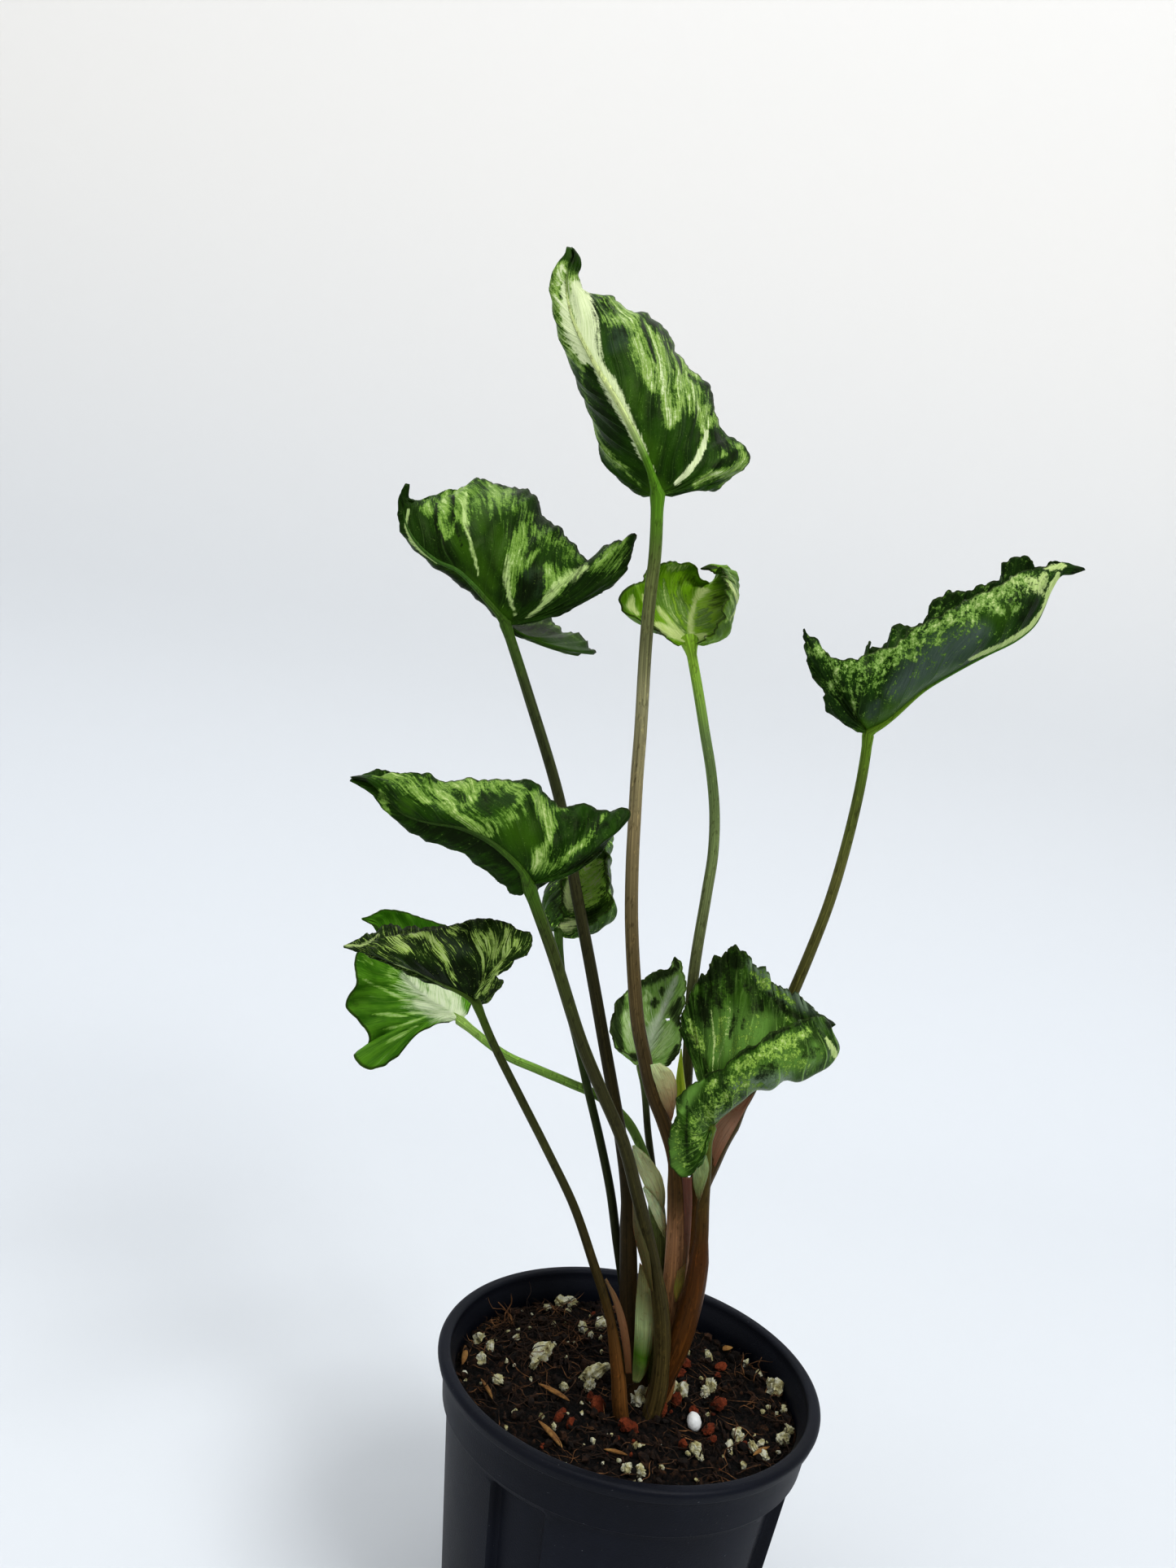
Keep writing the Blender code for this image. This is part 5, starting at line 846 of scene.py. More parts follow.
# stalks: way from the mix to the blade, radii in mm, and the share colours from root to blade and keel
stalks = {
    "top": {
        "way": [(812, 1712, 1), (822, 1640, 2), (830, 1570, 2), (833, 1500, 2), (832, 1450, 2),
                (827, 1415, 2), (816, 1380, 2), (801, 1340, 2), (792, 1300, 1), (784, 1260, 1),
                (779, 1200, 0), (776, 1130, -1), (777, 1060, -1), (780, 1000, -2), (783, 950, -2),
                (787, 900, -2), (793, 800, -2), (798, 740, -1), (805, 680, -1), (808, 608, 0)],
        "radii": (3.0, 3.6, 2.8, 2.0, 1.8, 1.75), "sheath": 66, "slot": "stalk_brown",
        "tones": [(0, (0.24, 0.115, 0.03)), (0.08, (0.29, 0.145, 0.058)), (0.21, (0.3, 0.16, 0.08)),
                  (0.27, (0.085, 0.045, 0.014)), (0.38, (0.05, 0.034, 0.014)), (0.5, (0.115, 0.085, 0.038)),
                  (0.66, (0.22, 0.18, 0.095)), (0.78, (0.25, 0.24, 0.135)), (0.85, (0.12, 0.125, 0.06)),
                  (0.93, (0.11, 0.135, 0.045)), (0.97, (0.095, 0.18, 0.024)), (1, (0.1, 0.23, 0.016))],
        "keel": (0.5, 0.58, 0.27)},
    "upper_left": {
        "way": [(784, 1712, 1), (777, 1660, 0), (773, 1600, -1), (772, 1540, -2), (770, 1460, -3),
                (763, 1400, -3), (753, 1341, -4), (742, 1280, -5), (726, 1190, -5), (707, 1090, -6),
                (688, 985, -6), (648, 850, -6), (621, 766, -6)],
        "radii": (3.0, 2.7, 2.3, 1.8, 1.65, 1.45), "sheath": 52, "slot": "stalk_olive",
        "tones": [(0, (0.06, 0.034, 0.013)), (0.2, (0.024, 0.015, 0.005)), (0.45, (0.021, 0.018, 0.006)),
                  (0.7, (0.036, 0.037, 0.015)), (0.93, (0.038, 0.054, 0.017)), (1, (0.053, 0.114, 0.014))],
        "keel": (0.045, 0.12, 0.016)},
    "small_upright": {
        "way": [(812, 1700, -5), (826, 1600, -6), (836, 1500, -8), (840, 1400, -10), (845, 1310, -12),
                (852, 1200, -14), (868, 1100, -17), (876, 1050, -18), (878, 1000, -20), (874, 950, -21),
                (866, 900, -22), (858, 850, -23), (847, 788, -25)],
        "radii": (2.6, 2.2, 2.0, 1.6, 1.6, 1.5), "sheath": 40, "slot": "stalk_olive", "flare": 1.9,
        "tones": [(0, (0.055, 0.035, 0.01)), (0.3, (0.045, 0.036, 0.011)), (0.5, (0.07, 0.07, 0.026)),
                  (0.66, (0.135, 0.165, 0.07)), (0.88, (0.15, 0.225, 0.08)), (0.95, (0.22, 0.37, 0.05)),
                  (1, (0.3, 0.5, 0.05))],
        "keel": (0.42, 0.55, 0.16)},
    "right": {
        "way": [(810, 1712, 0), (824, 1650, -1), (838, 1590, -2), (848, 1520, -3), (858, 1460, -4),
                (871, 1430, -5), (885, 1400, -6), (903, 1370, -7), (921, 1340, -8), (948, 1278, -9),
                (977, 1214, -9), (998, 1164, -8), (1019, 1109, -7), (1039, 1042, -5), (1056, 971, -3),
                (1064, 925, -1), (1067, 899, 0)],
        "radii": (2.8, 3.2, 3.0, 1.8, 1.5, 1.4), "sheath": 84, "slot": "stalk_brown",
        "tones": [(0, (0.095, 0.04, 0.008)), (0.12, (0.081, 0.036, 0.007)), (0.26, (0.059, 0.025, 0.005)),
                  (0.36, (0.052, 0.031, 0.008)), (0.55, (0.059, 0.053, 0.013)), (0.8, (0.115, 0.118, 0.034)),
                  (0.94, (0.095, 0.132, 0.024)), (1, (0.114, 0.212, 0.015))],
        "keel": (0.045, 0.135, 0.01)},
    "front_left": {
        "way": [(808, 1712, 8), (814, 1647, 10), (809, 1586, 12), (797, 1525, 15), (782, 1464, 19),
                (765, 1402, 23), (739, 1341, 28), (714, 1280, 33), (679, 1170, 40), (649, 1087, 44)],
        "radii": (2.8, 2.4, 2.2, 1.8, 1.6, 1.5), "sheath": 40, "slot": "stalk_olive",
        "tones": [(0, (0.1, 0.07, 0.024)), (0.16, (0.075, 0.058, 0.02)), (0.32, (0.036, 0.031, 0.01)),
                  (0.7, (0.041, 0.041, 0.015)), (0.92, (0.046, 0.065, 0.015)), (1, (0.05, 0.112, 0.011))],
        "keel": (0.03, 0.072, 0.01)},
    "low_left": {
        "way": [(762, 1730, 10), (759, 1684, 11), (749, 1617, 12), (728, 1549, 14), (705, 1482, 16),
                (673, 1415, 19), (640, 1350, 21), (605, 1280, 22), (585, 1232, 22)],
        "radii": (2.0, 2.1, 1.7, 1.3, 1.1, 1.05), "sheath": 26, "slot": "stalk_olive",
        "tones": [(0, (0.17, 0.08, 0.022)), (0.18, (0.14, 0.064, 0.018)), (0.34, (0.043, 0.029, 0.008)),
                  (0.6, (0.036, 0.035, 0.011)), (0.9, (0.041, 0.05, 0.013)), (1, (0.06, 0.112, 0.013))],
        "keel": (0.1, 0.16, 0.045)},
    "pale_low": {
        "way": [(800, 1712, -3), (806, 1600, -5), (808, 1500, -7), (799, 1445, -9), (787, 1408, -10),
                (770, 1377, -11), (737, 1348, -13), (700, 1331, -15), (660, 1314, -16), (620, 1296, -18),
                (565, 1254, -18)],
        "radii": (2.8, 2.6, 2.4, 1.4, 1.3, 1.2), "sheath": 56, "slot": "stalk_green",
        "tones": [(0, (0.1, 0.11, 0.03)), (0.35, (0.13, 0.15, 0.045)), (0.5, (0.13, 0.22, 0.05)),
                  (0.75, (0.135, 0.245, 0.045)), (0.93, (0.17, 0.3, 0.06)), (1, (0.26, 0.4, 0.1))],
        "keel": (0.52, 0.6, 0.3)},
    "small_back": {
        "way": [(780, 1700, -3), (773, 1640, -5), (766, 1580, -6), (758, 1525, -7), (750, 1464, -8),
                (737, 1400, -9), (723, 1341, -10), (709, 1280, -11), (692, 1210, -15), (686, 1146, -20)],
        "radii": (2.0, 1.6, 1.4, 1.3, 1.2, 1.1), "sheath": 26, "slot": "stalk_green",
        "tones": [(0, (0.015, 0.015, 0.004)), (0.35, (0.013, 0.017, 0.004)), (0.6, (0.018, 0.03, 0.007)),
                  (0.88, (0.028, 0.056, 0.011)), (1, (0.059, 0.12, 0.021))],
        "keel": (0.3, 0.4, 0.15)},
    "small_middle": {
        "way": [(804, 1712, -4), (810, 1600, -10), (810, 1500, -14), (801, 1430, -17), (796, 1390, -19),
                (792, 1341, -21), (787, 1311, -22)],
        "radii": (1.8, 1.5, 1.3, 1.2, 1.05, 1.0), "sheath": 30, "slot": "stalk_green",
        "tones": [(0, (0.02, 0.018, 0.006)), (0.5, (0.016, 0.018, 0.006)), (0.85, (0.03, 0.036, 0.012)),
                  (1, (0.12, 0.17, 0.055))],
        "keel": (0.46, 0.54, 0.26)},
    "right_front": {
        "way": [(808, 1712, 5), (821, 1680, 7), (835, 1647, 8), (852, 1590, 9), (861, 1530, 10),
                (864, 1480, 11), (867, 1440, 12), (869, 1405, 13), (873, 1384, 14)],
        "radii": (2.6, 3.3, 2.7, 1.9, 1.6, 1.4), "sheath": 50, "slot": "stalk_brown",
        "tones": [(0, (0.105, 0.043, 0.01)), (0.3, (0.088, 0.034, 0.007)), (0.6, (0.066, 0.022, 0.004)),
                  (0.85, (0.066, 0.05, 0.011)), (1, (0.099, 0.153, 0.018))],
        "keel": (0.11, 0.2, 0.05)}}

stalkBuild = {"sides": 24, "steps": 150, "keelSteps": 50, "rootDrop": 6 * mm, "rootDraw": 0.6,
              "crown": (4.2 * mm, -2.8 * mm), "curvePoints": 400}


def lengthOf(curve):
    return float(np.linalg.norm(np.diff(curve, axis=0), axis=1).sum())


def stalkLine(stalk):
    way = [spot(*p) for p in stalk["way"]]
    crown = np.array(stalkBuild["crown"])
    root = way[0].copy()
    root[:2] = crown + (root[:2] - crown) * stalkBuild["rootDraw"]
    root[2] = mixLevel - stalkBuild["rootDrop"]
    return smoothCurve([root] + way, stalkBuild["curvePoints"])


def framesAlong(line):  # two directions square to the line, carried along it without twist
    tangent = np.gradient(line, axis=0)
    tangent /= np.linalg.norm(tangent, axis=1)[:, None]
    side = np.cross(tangent[0], viewAway)
    sides = []
    for t in tangent:
        side = side - t * (side @ t)
        side /= np.linalg.norm(side)
        sides.append(side)
    sides = np.array(sides)
    return sides, np.cross(tangent, sides)


def addTube(bm, line, radii, sides):
    # closed tube from a grid whose x runs round it and y along it; both ends are drawn in to points
    verts, x, y = gridVerts(bm, sides, len(line) + 1)
    firsts, seconds = framesAlong(line)
    index = np.clip(np.round(y * (len(line) + 1)).astype(int) - 1, 0, len(line) - 1)
    atEnd = (y < 1e-6) | (y > 1 - 1e-6)
    turn = x * math.tau
    radius = np.where(atEnd, 0.0, np.asarray(radii)[index])
    points = (line[index] + firsts[index] * (radius * np.cos(turn))[:, None]
              + seconds[index] * (radius * np.sin(turn))[:, None])
    moveVerts(verts, points)
    bmesh.ops.remove_doubles(bm, verts=verts, dist=0.000003)


def makeStalk(name, stalk, curves, material):
    line = stalkLine(stalk)
    run = lengthOf(line)
    keelRun = lengthOf(curves["midrib"])
    sheathEnd = stalk["sheath"] * mm
    r = stalk["radii"]
    ends = (0, sheathEnd * 0.5, sheathEnd, sheathEnd + 6 * mm, (sheathEnd + run) / 2, run - 4 * mm, run)
    at = np.linspace(0, run, stalkBuild["steps"])
    radii = np.interp(at, ends, (*r, r[5] * stalk.get("flare", 1.25))) * mm
    keelAt = np.linspace(0, keelRun, stalkBuild["keelSteps"])[1:]
    under = 1.0 if blades[name]["seen"] == "under" else -1.0
    shrink = (1.0, 0.62, 0.34) if under > 0 else (0.9, 0.34, 0.2)
    keelRadii = np.interp(keelAt / keelRun, (0, 0.08, 0.5, 1.0), [r[5] * s for s in shrink] + [0.12]) * mm
    lift = keelRadii * (0.35 if under > 0 else -1.1)
    keel = along(curves["midrib"], keelAt / keelRun) - viewAway * lift[:, None]
    whole = np.vstack([along(line, at / run), keel])
    bm = bmesh.new()
    bm.loops.layers.uv.new("around")
    addTube(bm, whole, np.concatenate([radii, keelRadii]), stalkBuild["sides"])
    bmesh.ops.recalc_face_normals(bm, faces=bm.faces)
    finishPiece("stalk_" + name, bm, material, stalk["slot"], "petiole_" + name, "sheath_clump")


def stalkMaterial(name, stalk):
    material, tree, shader = startMaterial("stalk_" + name)
    around, place = coordOf(tree, "UV"), coordOf(tree, "Object")
    lengthwise = addNode(tree, "ShaderNodeSeparateXYZ", {"Vector": around}).outputs[1]
    whole = stalkBuild["steps"] / (stalkBuild["steps"] + stalkBuild["keelSteps"])
    stops = [(share * whole * 0.99, tone) for share, tone in stalk["tones"]]
    stops += [(whole + 0.035, stops[-1][1]), (whole + 0.075, stalk["keel"])]
    seed = blades[name]["seed"]
    wander = mathOf(tree, "MULTIPLY_ADD", noiseOf(tree, place, 60, 3, 0.6), 0.05, -0.025)
    tone = rampOf(tree, plus(tree, lengthwise, wander), stops)
    lines = noiseOf(tree, scaled(tree, around, (30, 7, 1), (seed, 0, 0)), 1.0, 4, 0.62)
    colour = tinted(tree, threshold(tree, lines, 0.50, 0.64, 0.55), tone, (2.1, 2.1, 2.0))
    colour = tinted(tree, threshold(tree, lines, 0.47, 0.33, 0.65), colour, (0.36, 0.34, 0.28))
    flecks = threshold(tree, noiseOf(tree, scaled(tree, place, (1, 1, 0.45)), 900, 3, 0.6), 0.60, 0.68, 0.45)
    colour = tinted(tree, flecks, colour, (1.9, 1.8, 1.6))
    pits = threshold(tree, noiseOf(tree, scaled(tree, place, (1, 1, 0.3)), 1100, 3, 0.6), 0.44, 0.34, 0.6)
    colour = tinted(tree, pits, colour, (0.35, 0.33, 0.28))
    height = plus(tree, lines, times(tree, noiseOf(tree, place, 1300, 3, 0.6), 0.35))
    setShader(tree, shader, Base_Color=colour, Roughness=0.36, Normal=bumpOf(tree, height, 0.55, 0.00030),
              Specular_IOR_Level=0.17, Specular_Tint=(1.0, 0.92, 0.60))
    return material


# thin skins of the sheaths: left and right edge as pixels with mm nearer, bulge in mm, creases as depth in mm
# and seed, and tones from below to the top
wings = {
    "topFlap": {
        "left": [(825, 1378, 3.2), (811, 1352, 3.2), (800, 1330, 3.0), (796, 1309, 2.6)],
        "right": [(827, 1370, 2.4), (830.5, 1352, 1.6), (831, 1332, 1.2), (825, 1316, 1.4),
                  (811, 1306, 2.2)],
        "bulge": 0.7, "crease": (0.2, 5),
        "tones": [(0.18, 0.09, 0.045), (0.3, 0.28, 0.15), (0.46, 0.54, 0.29)]},
    "innerFold": {
        "left": [(836, 1573, 4.9), (840, 1532, 4.7), (840, 1482, 4.7), (838, 1447, 4.2)],
        "right": [(841, 1573, 4.6), (847, 1532, 4.1), (850, 1482, 3.9), (850, 1447, 3.4)],
        "bulge": 0.5,
        "tones": [(0.18, 0.11, 0.04), (0.14, 0.07, 0.048), (0.13, 0.06, 0.044)]},
    "forkBase": {
        "left": [(830, 1601, 7.4), (828, 1586, 6.6), (832, 1562, 5.6)],
        "right": [(832, 1599, 7.2), (840, 1578, 6.4), (843, 1552, 5.4)],
        "bulge": 0.5,
        "tones": [(0.2, 0.14, 0.03), (0.2, 0.2, 0.035), (0.17, 0.12, 0.04)]},
    "frontCup": {
        "left": [(858, 1478, 13.8), (852.5, 1458, 14.2), (851, 1440, 14.4)],
        "right": [(859, 1477, 13.6), (866, 1457, 13.6), (871, 1436, 13.8), (868, 1419, 14.0)],
        "bulge": 0.9, "crease": (0.25, 4),
        "tones": [(0.085, 0.055, 0.02), (0.14, 0.19, 0.07), (0.24, 0.32, 0.15)]},
    "rightSkin": {
        "left": [(868, 1420, -3.5), (868, 1404, -4.0), (871, 1390, -4.4), (882, 1376, -4.8),
                 (902, 1360, -5.4), (925, 1345, -6.0)],
        "right": [(878, 1434, -2.0), (888, 1414, -2.2), (900, 1392, -2.6), (912, 1370, -3.2),
                  (925, 1345, -5.0)],
        "bulge": 0.6,
        "tones": [(0.19, 0.085, 0.042), (0.32, 0.2, 0.135), (0.25, 0.15, 0.095)]},
    "paleSkin": {
        "left": [(811, 1502, -3.0), (802, 1478, -3.4), (791, 1455, -3.6), (780, 1428, -4.0),
                 (777, 1408, -4.4)],
        "right": [(813, 1501, -3.4), (817, 1469, -4.2), (812, 1444, -4.8), (798, 1423, -5.0),
                  (780, 1407, -4.8)],
        "bulge": 1.3, "crease": (0.5, 5),
        "tones": [(0.24, 0.27, 0.1), (0.5, 0.6, 0.34), (0.52, 0.64, 0.38)]},
    "paleInner": {
        "left": [(817, 1522, -0.8), (808, 1505, -1.2), (798, 1482, -1.6), (790, 1460, -2.0)],
        "right": [(818.5, 1520, -1.0), (818, 1500, -1.6), (809, 1478, -2.0), (791.5, 1457.5, -2.2)],
        "bulge": 0.8, "crease": (0.45, 6),
        "tones": [(0.24, 0.24, 0.09), (0.56, 0.64, 0.38), (0.62, 0.7, 0.46)]},
    "frontMargin": {
        "left": [(798, 1583, 13.2), (788, 1550, 14.2), (779, 1514, 15.6), (777, 1478, 17.4)],
        "right": [(802, 1587, 14.4), (799, 1550, 15.6), (793, 1514, 17.0), (783, 1478, 18.8)],
        "bulge": 0.5,
        "tones": [(0.075, 0.065, 0.018), (0.085, 0.08, 0.03), (0.11, 0.11, 0.055)]},
    "paleStreak": {
        "left": [(777, 1698, 6.0), (778, 1676, 5.6), (780, 1640, 5.0), (782, 1595, 4.6), (786, 1552, 4.2)],
        "right": [(786, 1699, 6.4), (794, 1685, 6.2), (801, 1660, 6.0), (804, 1630, 6.0), (804, 1595, 6.0),
                  (799, 1566, 6.0)],
        "bulge": 1.9,
        "tones": [(0.3, 0.36, 0.14), (0.085, 0.21, 0.012), (0.56, 0.68, 0.34), (0.24, 0.27, 0.12),
                  (0.07, 0.06, 0.018)]},
    "lowFlap": {
        "left": [(769, 1688, 12.4), (766, 1662, 12.6), (760, 1626, 13.0), (752, 1596, 13.4),
                 (743, 1573, 13.4)],
        "right": [(776, 1688, 11.6), (774, 1653, 11.8), (768, 1620, 12.0), (758, 1593, 12.6),
                  (745, 1571, 13.2)],
        "bulge": 0.5,
        "tones": [(0.12, 0.062, 0.024), (0.16, 0.088, 0.044), (0.15, 0.1, 0.05)]}}
wingBuild = {"across": 14, "along": 48, "thickness": 0.26 * mm, "rib": 0.05 * mm}


def wingPoints(wing, x, y):
    left, right = (along(smoothCurve([spot(*p) for p in wing[side]], 200), y) for side in ("left", "right"))
    swell = wing["bulge"] * mm * 4 * x * (1 - x) * np.clip(np.minimum(y, 1 - y) * 6, 0.15, 1)
    swell += wingBuild["rib"] * np.cos(x * 31)
    depth, seed = wing.get("crease", (0, 0))
    folds = np.array([noise.noise(Vector((a * 9 + b * 5, b * 6 - a * 3, seed))) for a, b in zip(x, y)])
    swell += depth * mm * folds * np.minimum(1, np.minimum(y, 1 - y) * 12)
    return left + (right - left) * x[:, None] - viewAway * swell[:, None]


def wingMaterial():
    material, tree, shader = startMaterial("sheathSkin")
    lines = noiseOf(tree, scaled(tree, coordOf(tree, "UV"), (16, 3, 1)), 1.0, 4, 0.6)
    tone = attributeOf(tree, "skin")["Color"]
    tone = tinted(tree, threshold(tree, lines, 0.50, 0.66, 0.4), tone, (1.6, 1.6, 1.6))
    tone = tinted(tree, threshold(tree, lines, 0.46, 0.32, 0.5), tone, (0.5, 0.45, 0.4))
    spots = threshold(tree, noiseOf(tree, coordOf(tree, "Object"), 700, 3, 0.6), 0.58, 0.68, 0.4)
    tone = tinted(tree, spots, tone, (0.6, 0.5, 0.42))
    setShader(tree, shader, Base_Color=tone, Roughness=0.4, Normal=bumpOf(tree, lines, 0.6, 0.0003),
              Specular_IOR_Level=0.2, Specular_Tint=(1.0, 0.92, 0.65), Subsurface_Weight=0.25,
              Subsurface_Scale=0.002)
    return material


def makeWings():
    bm = bmesh.new()
    bm.loops.layers.uv.new("around")
    skin = bm.verts.layers.float_color.new("skin")
    for wing in wings.values():
        verts, x, y = gridVerts(bm, wingBuild["across"], wingBuild["along"])
        moveVerts(verts, wingPoints(wing, x, y))
        for vert, tone in zip(verts, along(np.array(wing["tones"]), y)):
            vert[skin] = (*tone, 1.0)
    piece = finishPiece("sheath_skins", bm, wingMaterial(), "sheath_skin", "sheath_clump")
    giveWall(piece, wingBuild["thickness"])


spear = {"radii": (0.7, 1.5, 1.5, 1.55, 0.15), "steps": 40, "sides": 14,
         "way": [(835, 1484, -1.7), (838, 1450, -2.8), (840, 1400, -3.6), (836.5, 1350, -4.2),
                 (836, 1318, -4.6), (837, 1289, -5)]}


def makeSpear():
    material, tree, shader = startMaterial("spear")
    lines = noiseOf(tree, scaled(tree, coordOf(tree, "UV"), (18, 3, 1)), 1.0, 4, 0.6)
    tone = blendColours(tree, threshold(tree, lines, 0.35, 0.65), (0.30, 0.44, 0.014), (0.60, 0.72, 0.050))
    setShader(tree, shader, Base_Color=tone, Roughness=0.4, Specular_IOR_Level=0.3,
              Normal=bumpOf(tree, lines, 0.4, 0.0002))
    steps = spear["steps"]
    line = smoothCurve([spot(*p) for p in spear["way"]], steps)
    bm = bmesh.new()
    bm.loops.layers.uv.new("around")
    radii = np.interp(np.linspace(0, 1, steps), np.linspace(0, 1, len(spear["radii"])), spear["radii"]) * mm
    addTube(bm, line, radii, spear["sides"])
    bmesh.ops.recalc_face_normals(bm, faces=bm.faces)
    finishPiece("spear_fine", bm, material, "leaf_bright", "spear_leaf")


# the pot; the recesses' sides stand at degrees from their middles
pot = {"wall": 1.3 * mm, "baseRadius": 38 * mm, "baseThick": 2 * mm, "lip": 3.5 * mm, "beadDrop": 3.4 * mm,
       "collarDrop": 13.4 * mm, "collarRadius": 48.5 * mm, "recesses": 4, "recessDepth": 3 * mm,
       "recessHalf": 8.5, "recessEdge": 10.1, "recessTurn": math.radians(-123), "recessFoot": 9 * mm,
       "recessDrop": 15 * mm, "steps": 192, "crowdSteps": (13, 17), "rows": 44, "drains": 4,
       "drainRadius": 4 * mm, "drainRing": 24 * mm, "scuffs": 0.09, "specks": 0.35,
       "tones": ((0.0036, 0.0050, 0.0105), (0.0068, 0.0092, 0.0180)), "dust": (0.30, 0.31, 0.32)}


def bodyRadius(height):  # the tapering body's outer radius
    share = height / (potTop - pot["collarDrop"])
    return pot["baseRadius"] + (pot["collarRadius"] - 0.4 * mm - pot["baseRadius"]) * share


def arcPoints(centre, radius, start, end, count):
    turns = [math.radians(start + (end - start) * i / count) for i in range(count + 1)]
    return [(centre[0] + radius * math.cos(t), centre[1] + radius * math.sin(t)) for t in turns]


def potProfile():  # radius and height, from the inner floor over the lip and down to the underside
    rim, wall, top, collar, base = rimRadius, pot["wall"], potTop, pot["collarRadius"], pot["baseRadius"]
    innerLip, beadFoot, collarFoot = rim - pot["lip"], top - pot["beadDrop"], top - pot["collarDrop"]
    recessTop, recessFoot, floor = top - pot["recessDrop"], pot["recessFoot"], pot["baseThick"]
    heights = [5 * mm, recessFoot - 1 * mm] + [recessFoot + 0.4 * mm * i for i in range(4)]
    heights += list(np.linspace(recessFoot + 1.6 * mm, recessTop - 1.6 * mm, pot["rows"]))
    heights += [recessTop - drop * mm for drop in (1.1, 0.7, 0.3, 0)]
    profile = [(0, floor), (20 * mm, floor), (base - 3.2 * mm, floor)]
    profile += [(bodyRadius(h) - wall, h) for h in heights]
    profile += [(collar - wall, top - drop * mm) for drop in (12, 8, 4.8)]
    profile += [(innerLip - 0.3 * mm, top - 3 * mm)]
    profile += arcPoints((innerLip + 1.1 * mm, top - 1.1 * mm), 1.1 * mm, 180, 90, 5)
    profile += arcPoints((rim - 1.3 * mm, top - 1.3 * mm), 1.3 * mm, 90, -8, 7)
    profile += arcPoints((rim - 1.0 * mm, beadFoot + 0.5 * mm), 0.5 * mm, 0, -90, 4)
    profile += [(rim - 1.75 * mm, beadFoot - 0.1 * mm)]
    profile += [(rim - inset * mm, top - drop * mm) for inset, drop in ((2.0, 4.4), (2.4, 8), (2.8, 11.5))]
    profile += arcPoints((collar + 0.55 * mm, collarFoot + 0.35 * mm), 0.35 * mm, 10, -90, 4)
    profile += [(collar - 0.2 * mm, collarFoot - 0.1 * mm)]
    profile += [(bodyRadius(h), h) for h in reversed(heights)] + [(base + 0.3 * mm, 2.4 * mm)]
    profile += arcPoints((base - 0.9 * mm, 1.1 * mm), 1.1 * mm, 0, -90, 4)
    profile += [(base - 4 * mm, 0.0), (base - 4.6 * mm, 0.5 * mm), (12 * mm, 0.5 * mm), (0, 0.5 * mm)]
    return profile


def potMaterial():
    material, tree, shader = startMaterial("blackPlastic")
    place = coordOf(tree, "Object")
    cloudy = noiseOf(tree, place, 30, 5, 0.6)
    base = blendColours(tree, threshold(tree, cloudy, 0.35, 0.7), *pot["tones"])
    patches = threshold(tree, noiseOf(tree, place, 38, 3, 0.6), 0.56, 0.72)
    scratches = noiseOf(tree, scaled(tree, place, (700, 700, 260)), 1.0, 4, 0.7)
    scuffs = times(tree, times(tree, patches, threshold(tree, scratches, 0.48, 0.72)), pot["scuffs"])
    specks = times(tree, threshold(tree, noiseOf(tree, place, 1500, 2, 0.5), 0.74, 0.78), pot["specks"])
    dust = mathOf(tree, "MAXIMUM", scuffs, specks)
    rough = plus(tree, rangeOf(tree, cloudy, 0, 1, 0.36, 0.54), times(tree, dust, 0.3))
    height = plus(tree, noiseOf(tree, place, 2600, 3, 0.6), times(tree, cloudy, 1.5))
    setShader(tree, shader, Base_Color=blendColours(tree, dust, base, pot["dust"]), Roughness=rough,
              Normal=bumpOf(tree, height, 0.25, 0.0003), Specular_IOR_Level=0.17)
    return material


def shapeRecesses(bm):  # turns the steps round the pot, so that they crowd at the recesses' sides
    perPitch = pot["steps"] // pot["recesses"]
    half, edge, pitch = pot["recessHalf"], pot["recessEdge"], 360 / pot["recesses"]
    near, far = pot["crowdSteps"]
    stops = (0, near, far, perPitch - far, perPitch - near, perPitch)
    angles = (-pitch / 2, -edge, -half, half, edge, pitch / 2)
    low, high = pot["recessFoot"], potTop - pot["recessDrop"]
    for vert in bm.verts:
        radius, height = math.hypot(vert.co.x, vert.co.y), vert.co.z
        if radius < 1 * mm:
            continue
        index = round(math.atan2(vert.co.y, vert.co.x) / math.tau * pot["steps"]) % pot["steps"]
        turns, rest = divmod(index, perPitch)
        inPitch = float(np.interp(rest, stops, angles))
        across = 1 - smoothStep(half, edge, abs(inPitch))
        upright = smoothStep(low, low + 1.4 * mm, height)
        upright *= 1 - smoothStep(high - 1.2 * mm, high - 0.1 * mm, height)
        if radius > bodyRadius(height) - 3 * mm:
            radius -= pot["recessDepth"] * across * upright
        angle = pot["recessTurn"] + math.radians(turns * pitch + inPitch)
        vert.co.x, vert.co.y = radius * math.cos(angle), radius * math.sin(angle)


def makePot():
    bm = bmesh.new()
    profile = [bm.verts.new((r, 0, z)) for r, z in potProfile()]
    edges = [bm.edges.new(pair) for pair in zip(profile[:-1], profile[1:])]
    bmesh.ops.spin(bm, geom=profile + edges, cent=(0, 0, 0), axis=(0, 0, 1), dvec=(0, 0, 0), angle=math.tau,
                   steps=pot["steps"], use_merge=True, use_duplicate=False)
    bmesh.ops.remove_doubles(bm, verts=bm.verts, dist=0.000005)
    shapeRecesses(bm)
    bmesh.ops.recalc_face_normals(bm, faces=bm.faces)
    piece = finishPiece("pot_fine", bm, potMaterial(), "black_plastic", "nursery_pot")
    cutDrains(piece)
    piece.data.set_sharp_from_angle(angle=math.radians(50))


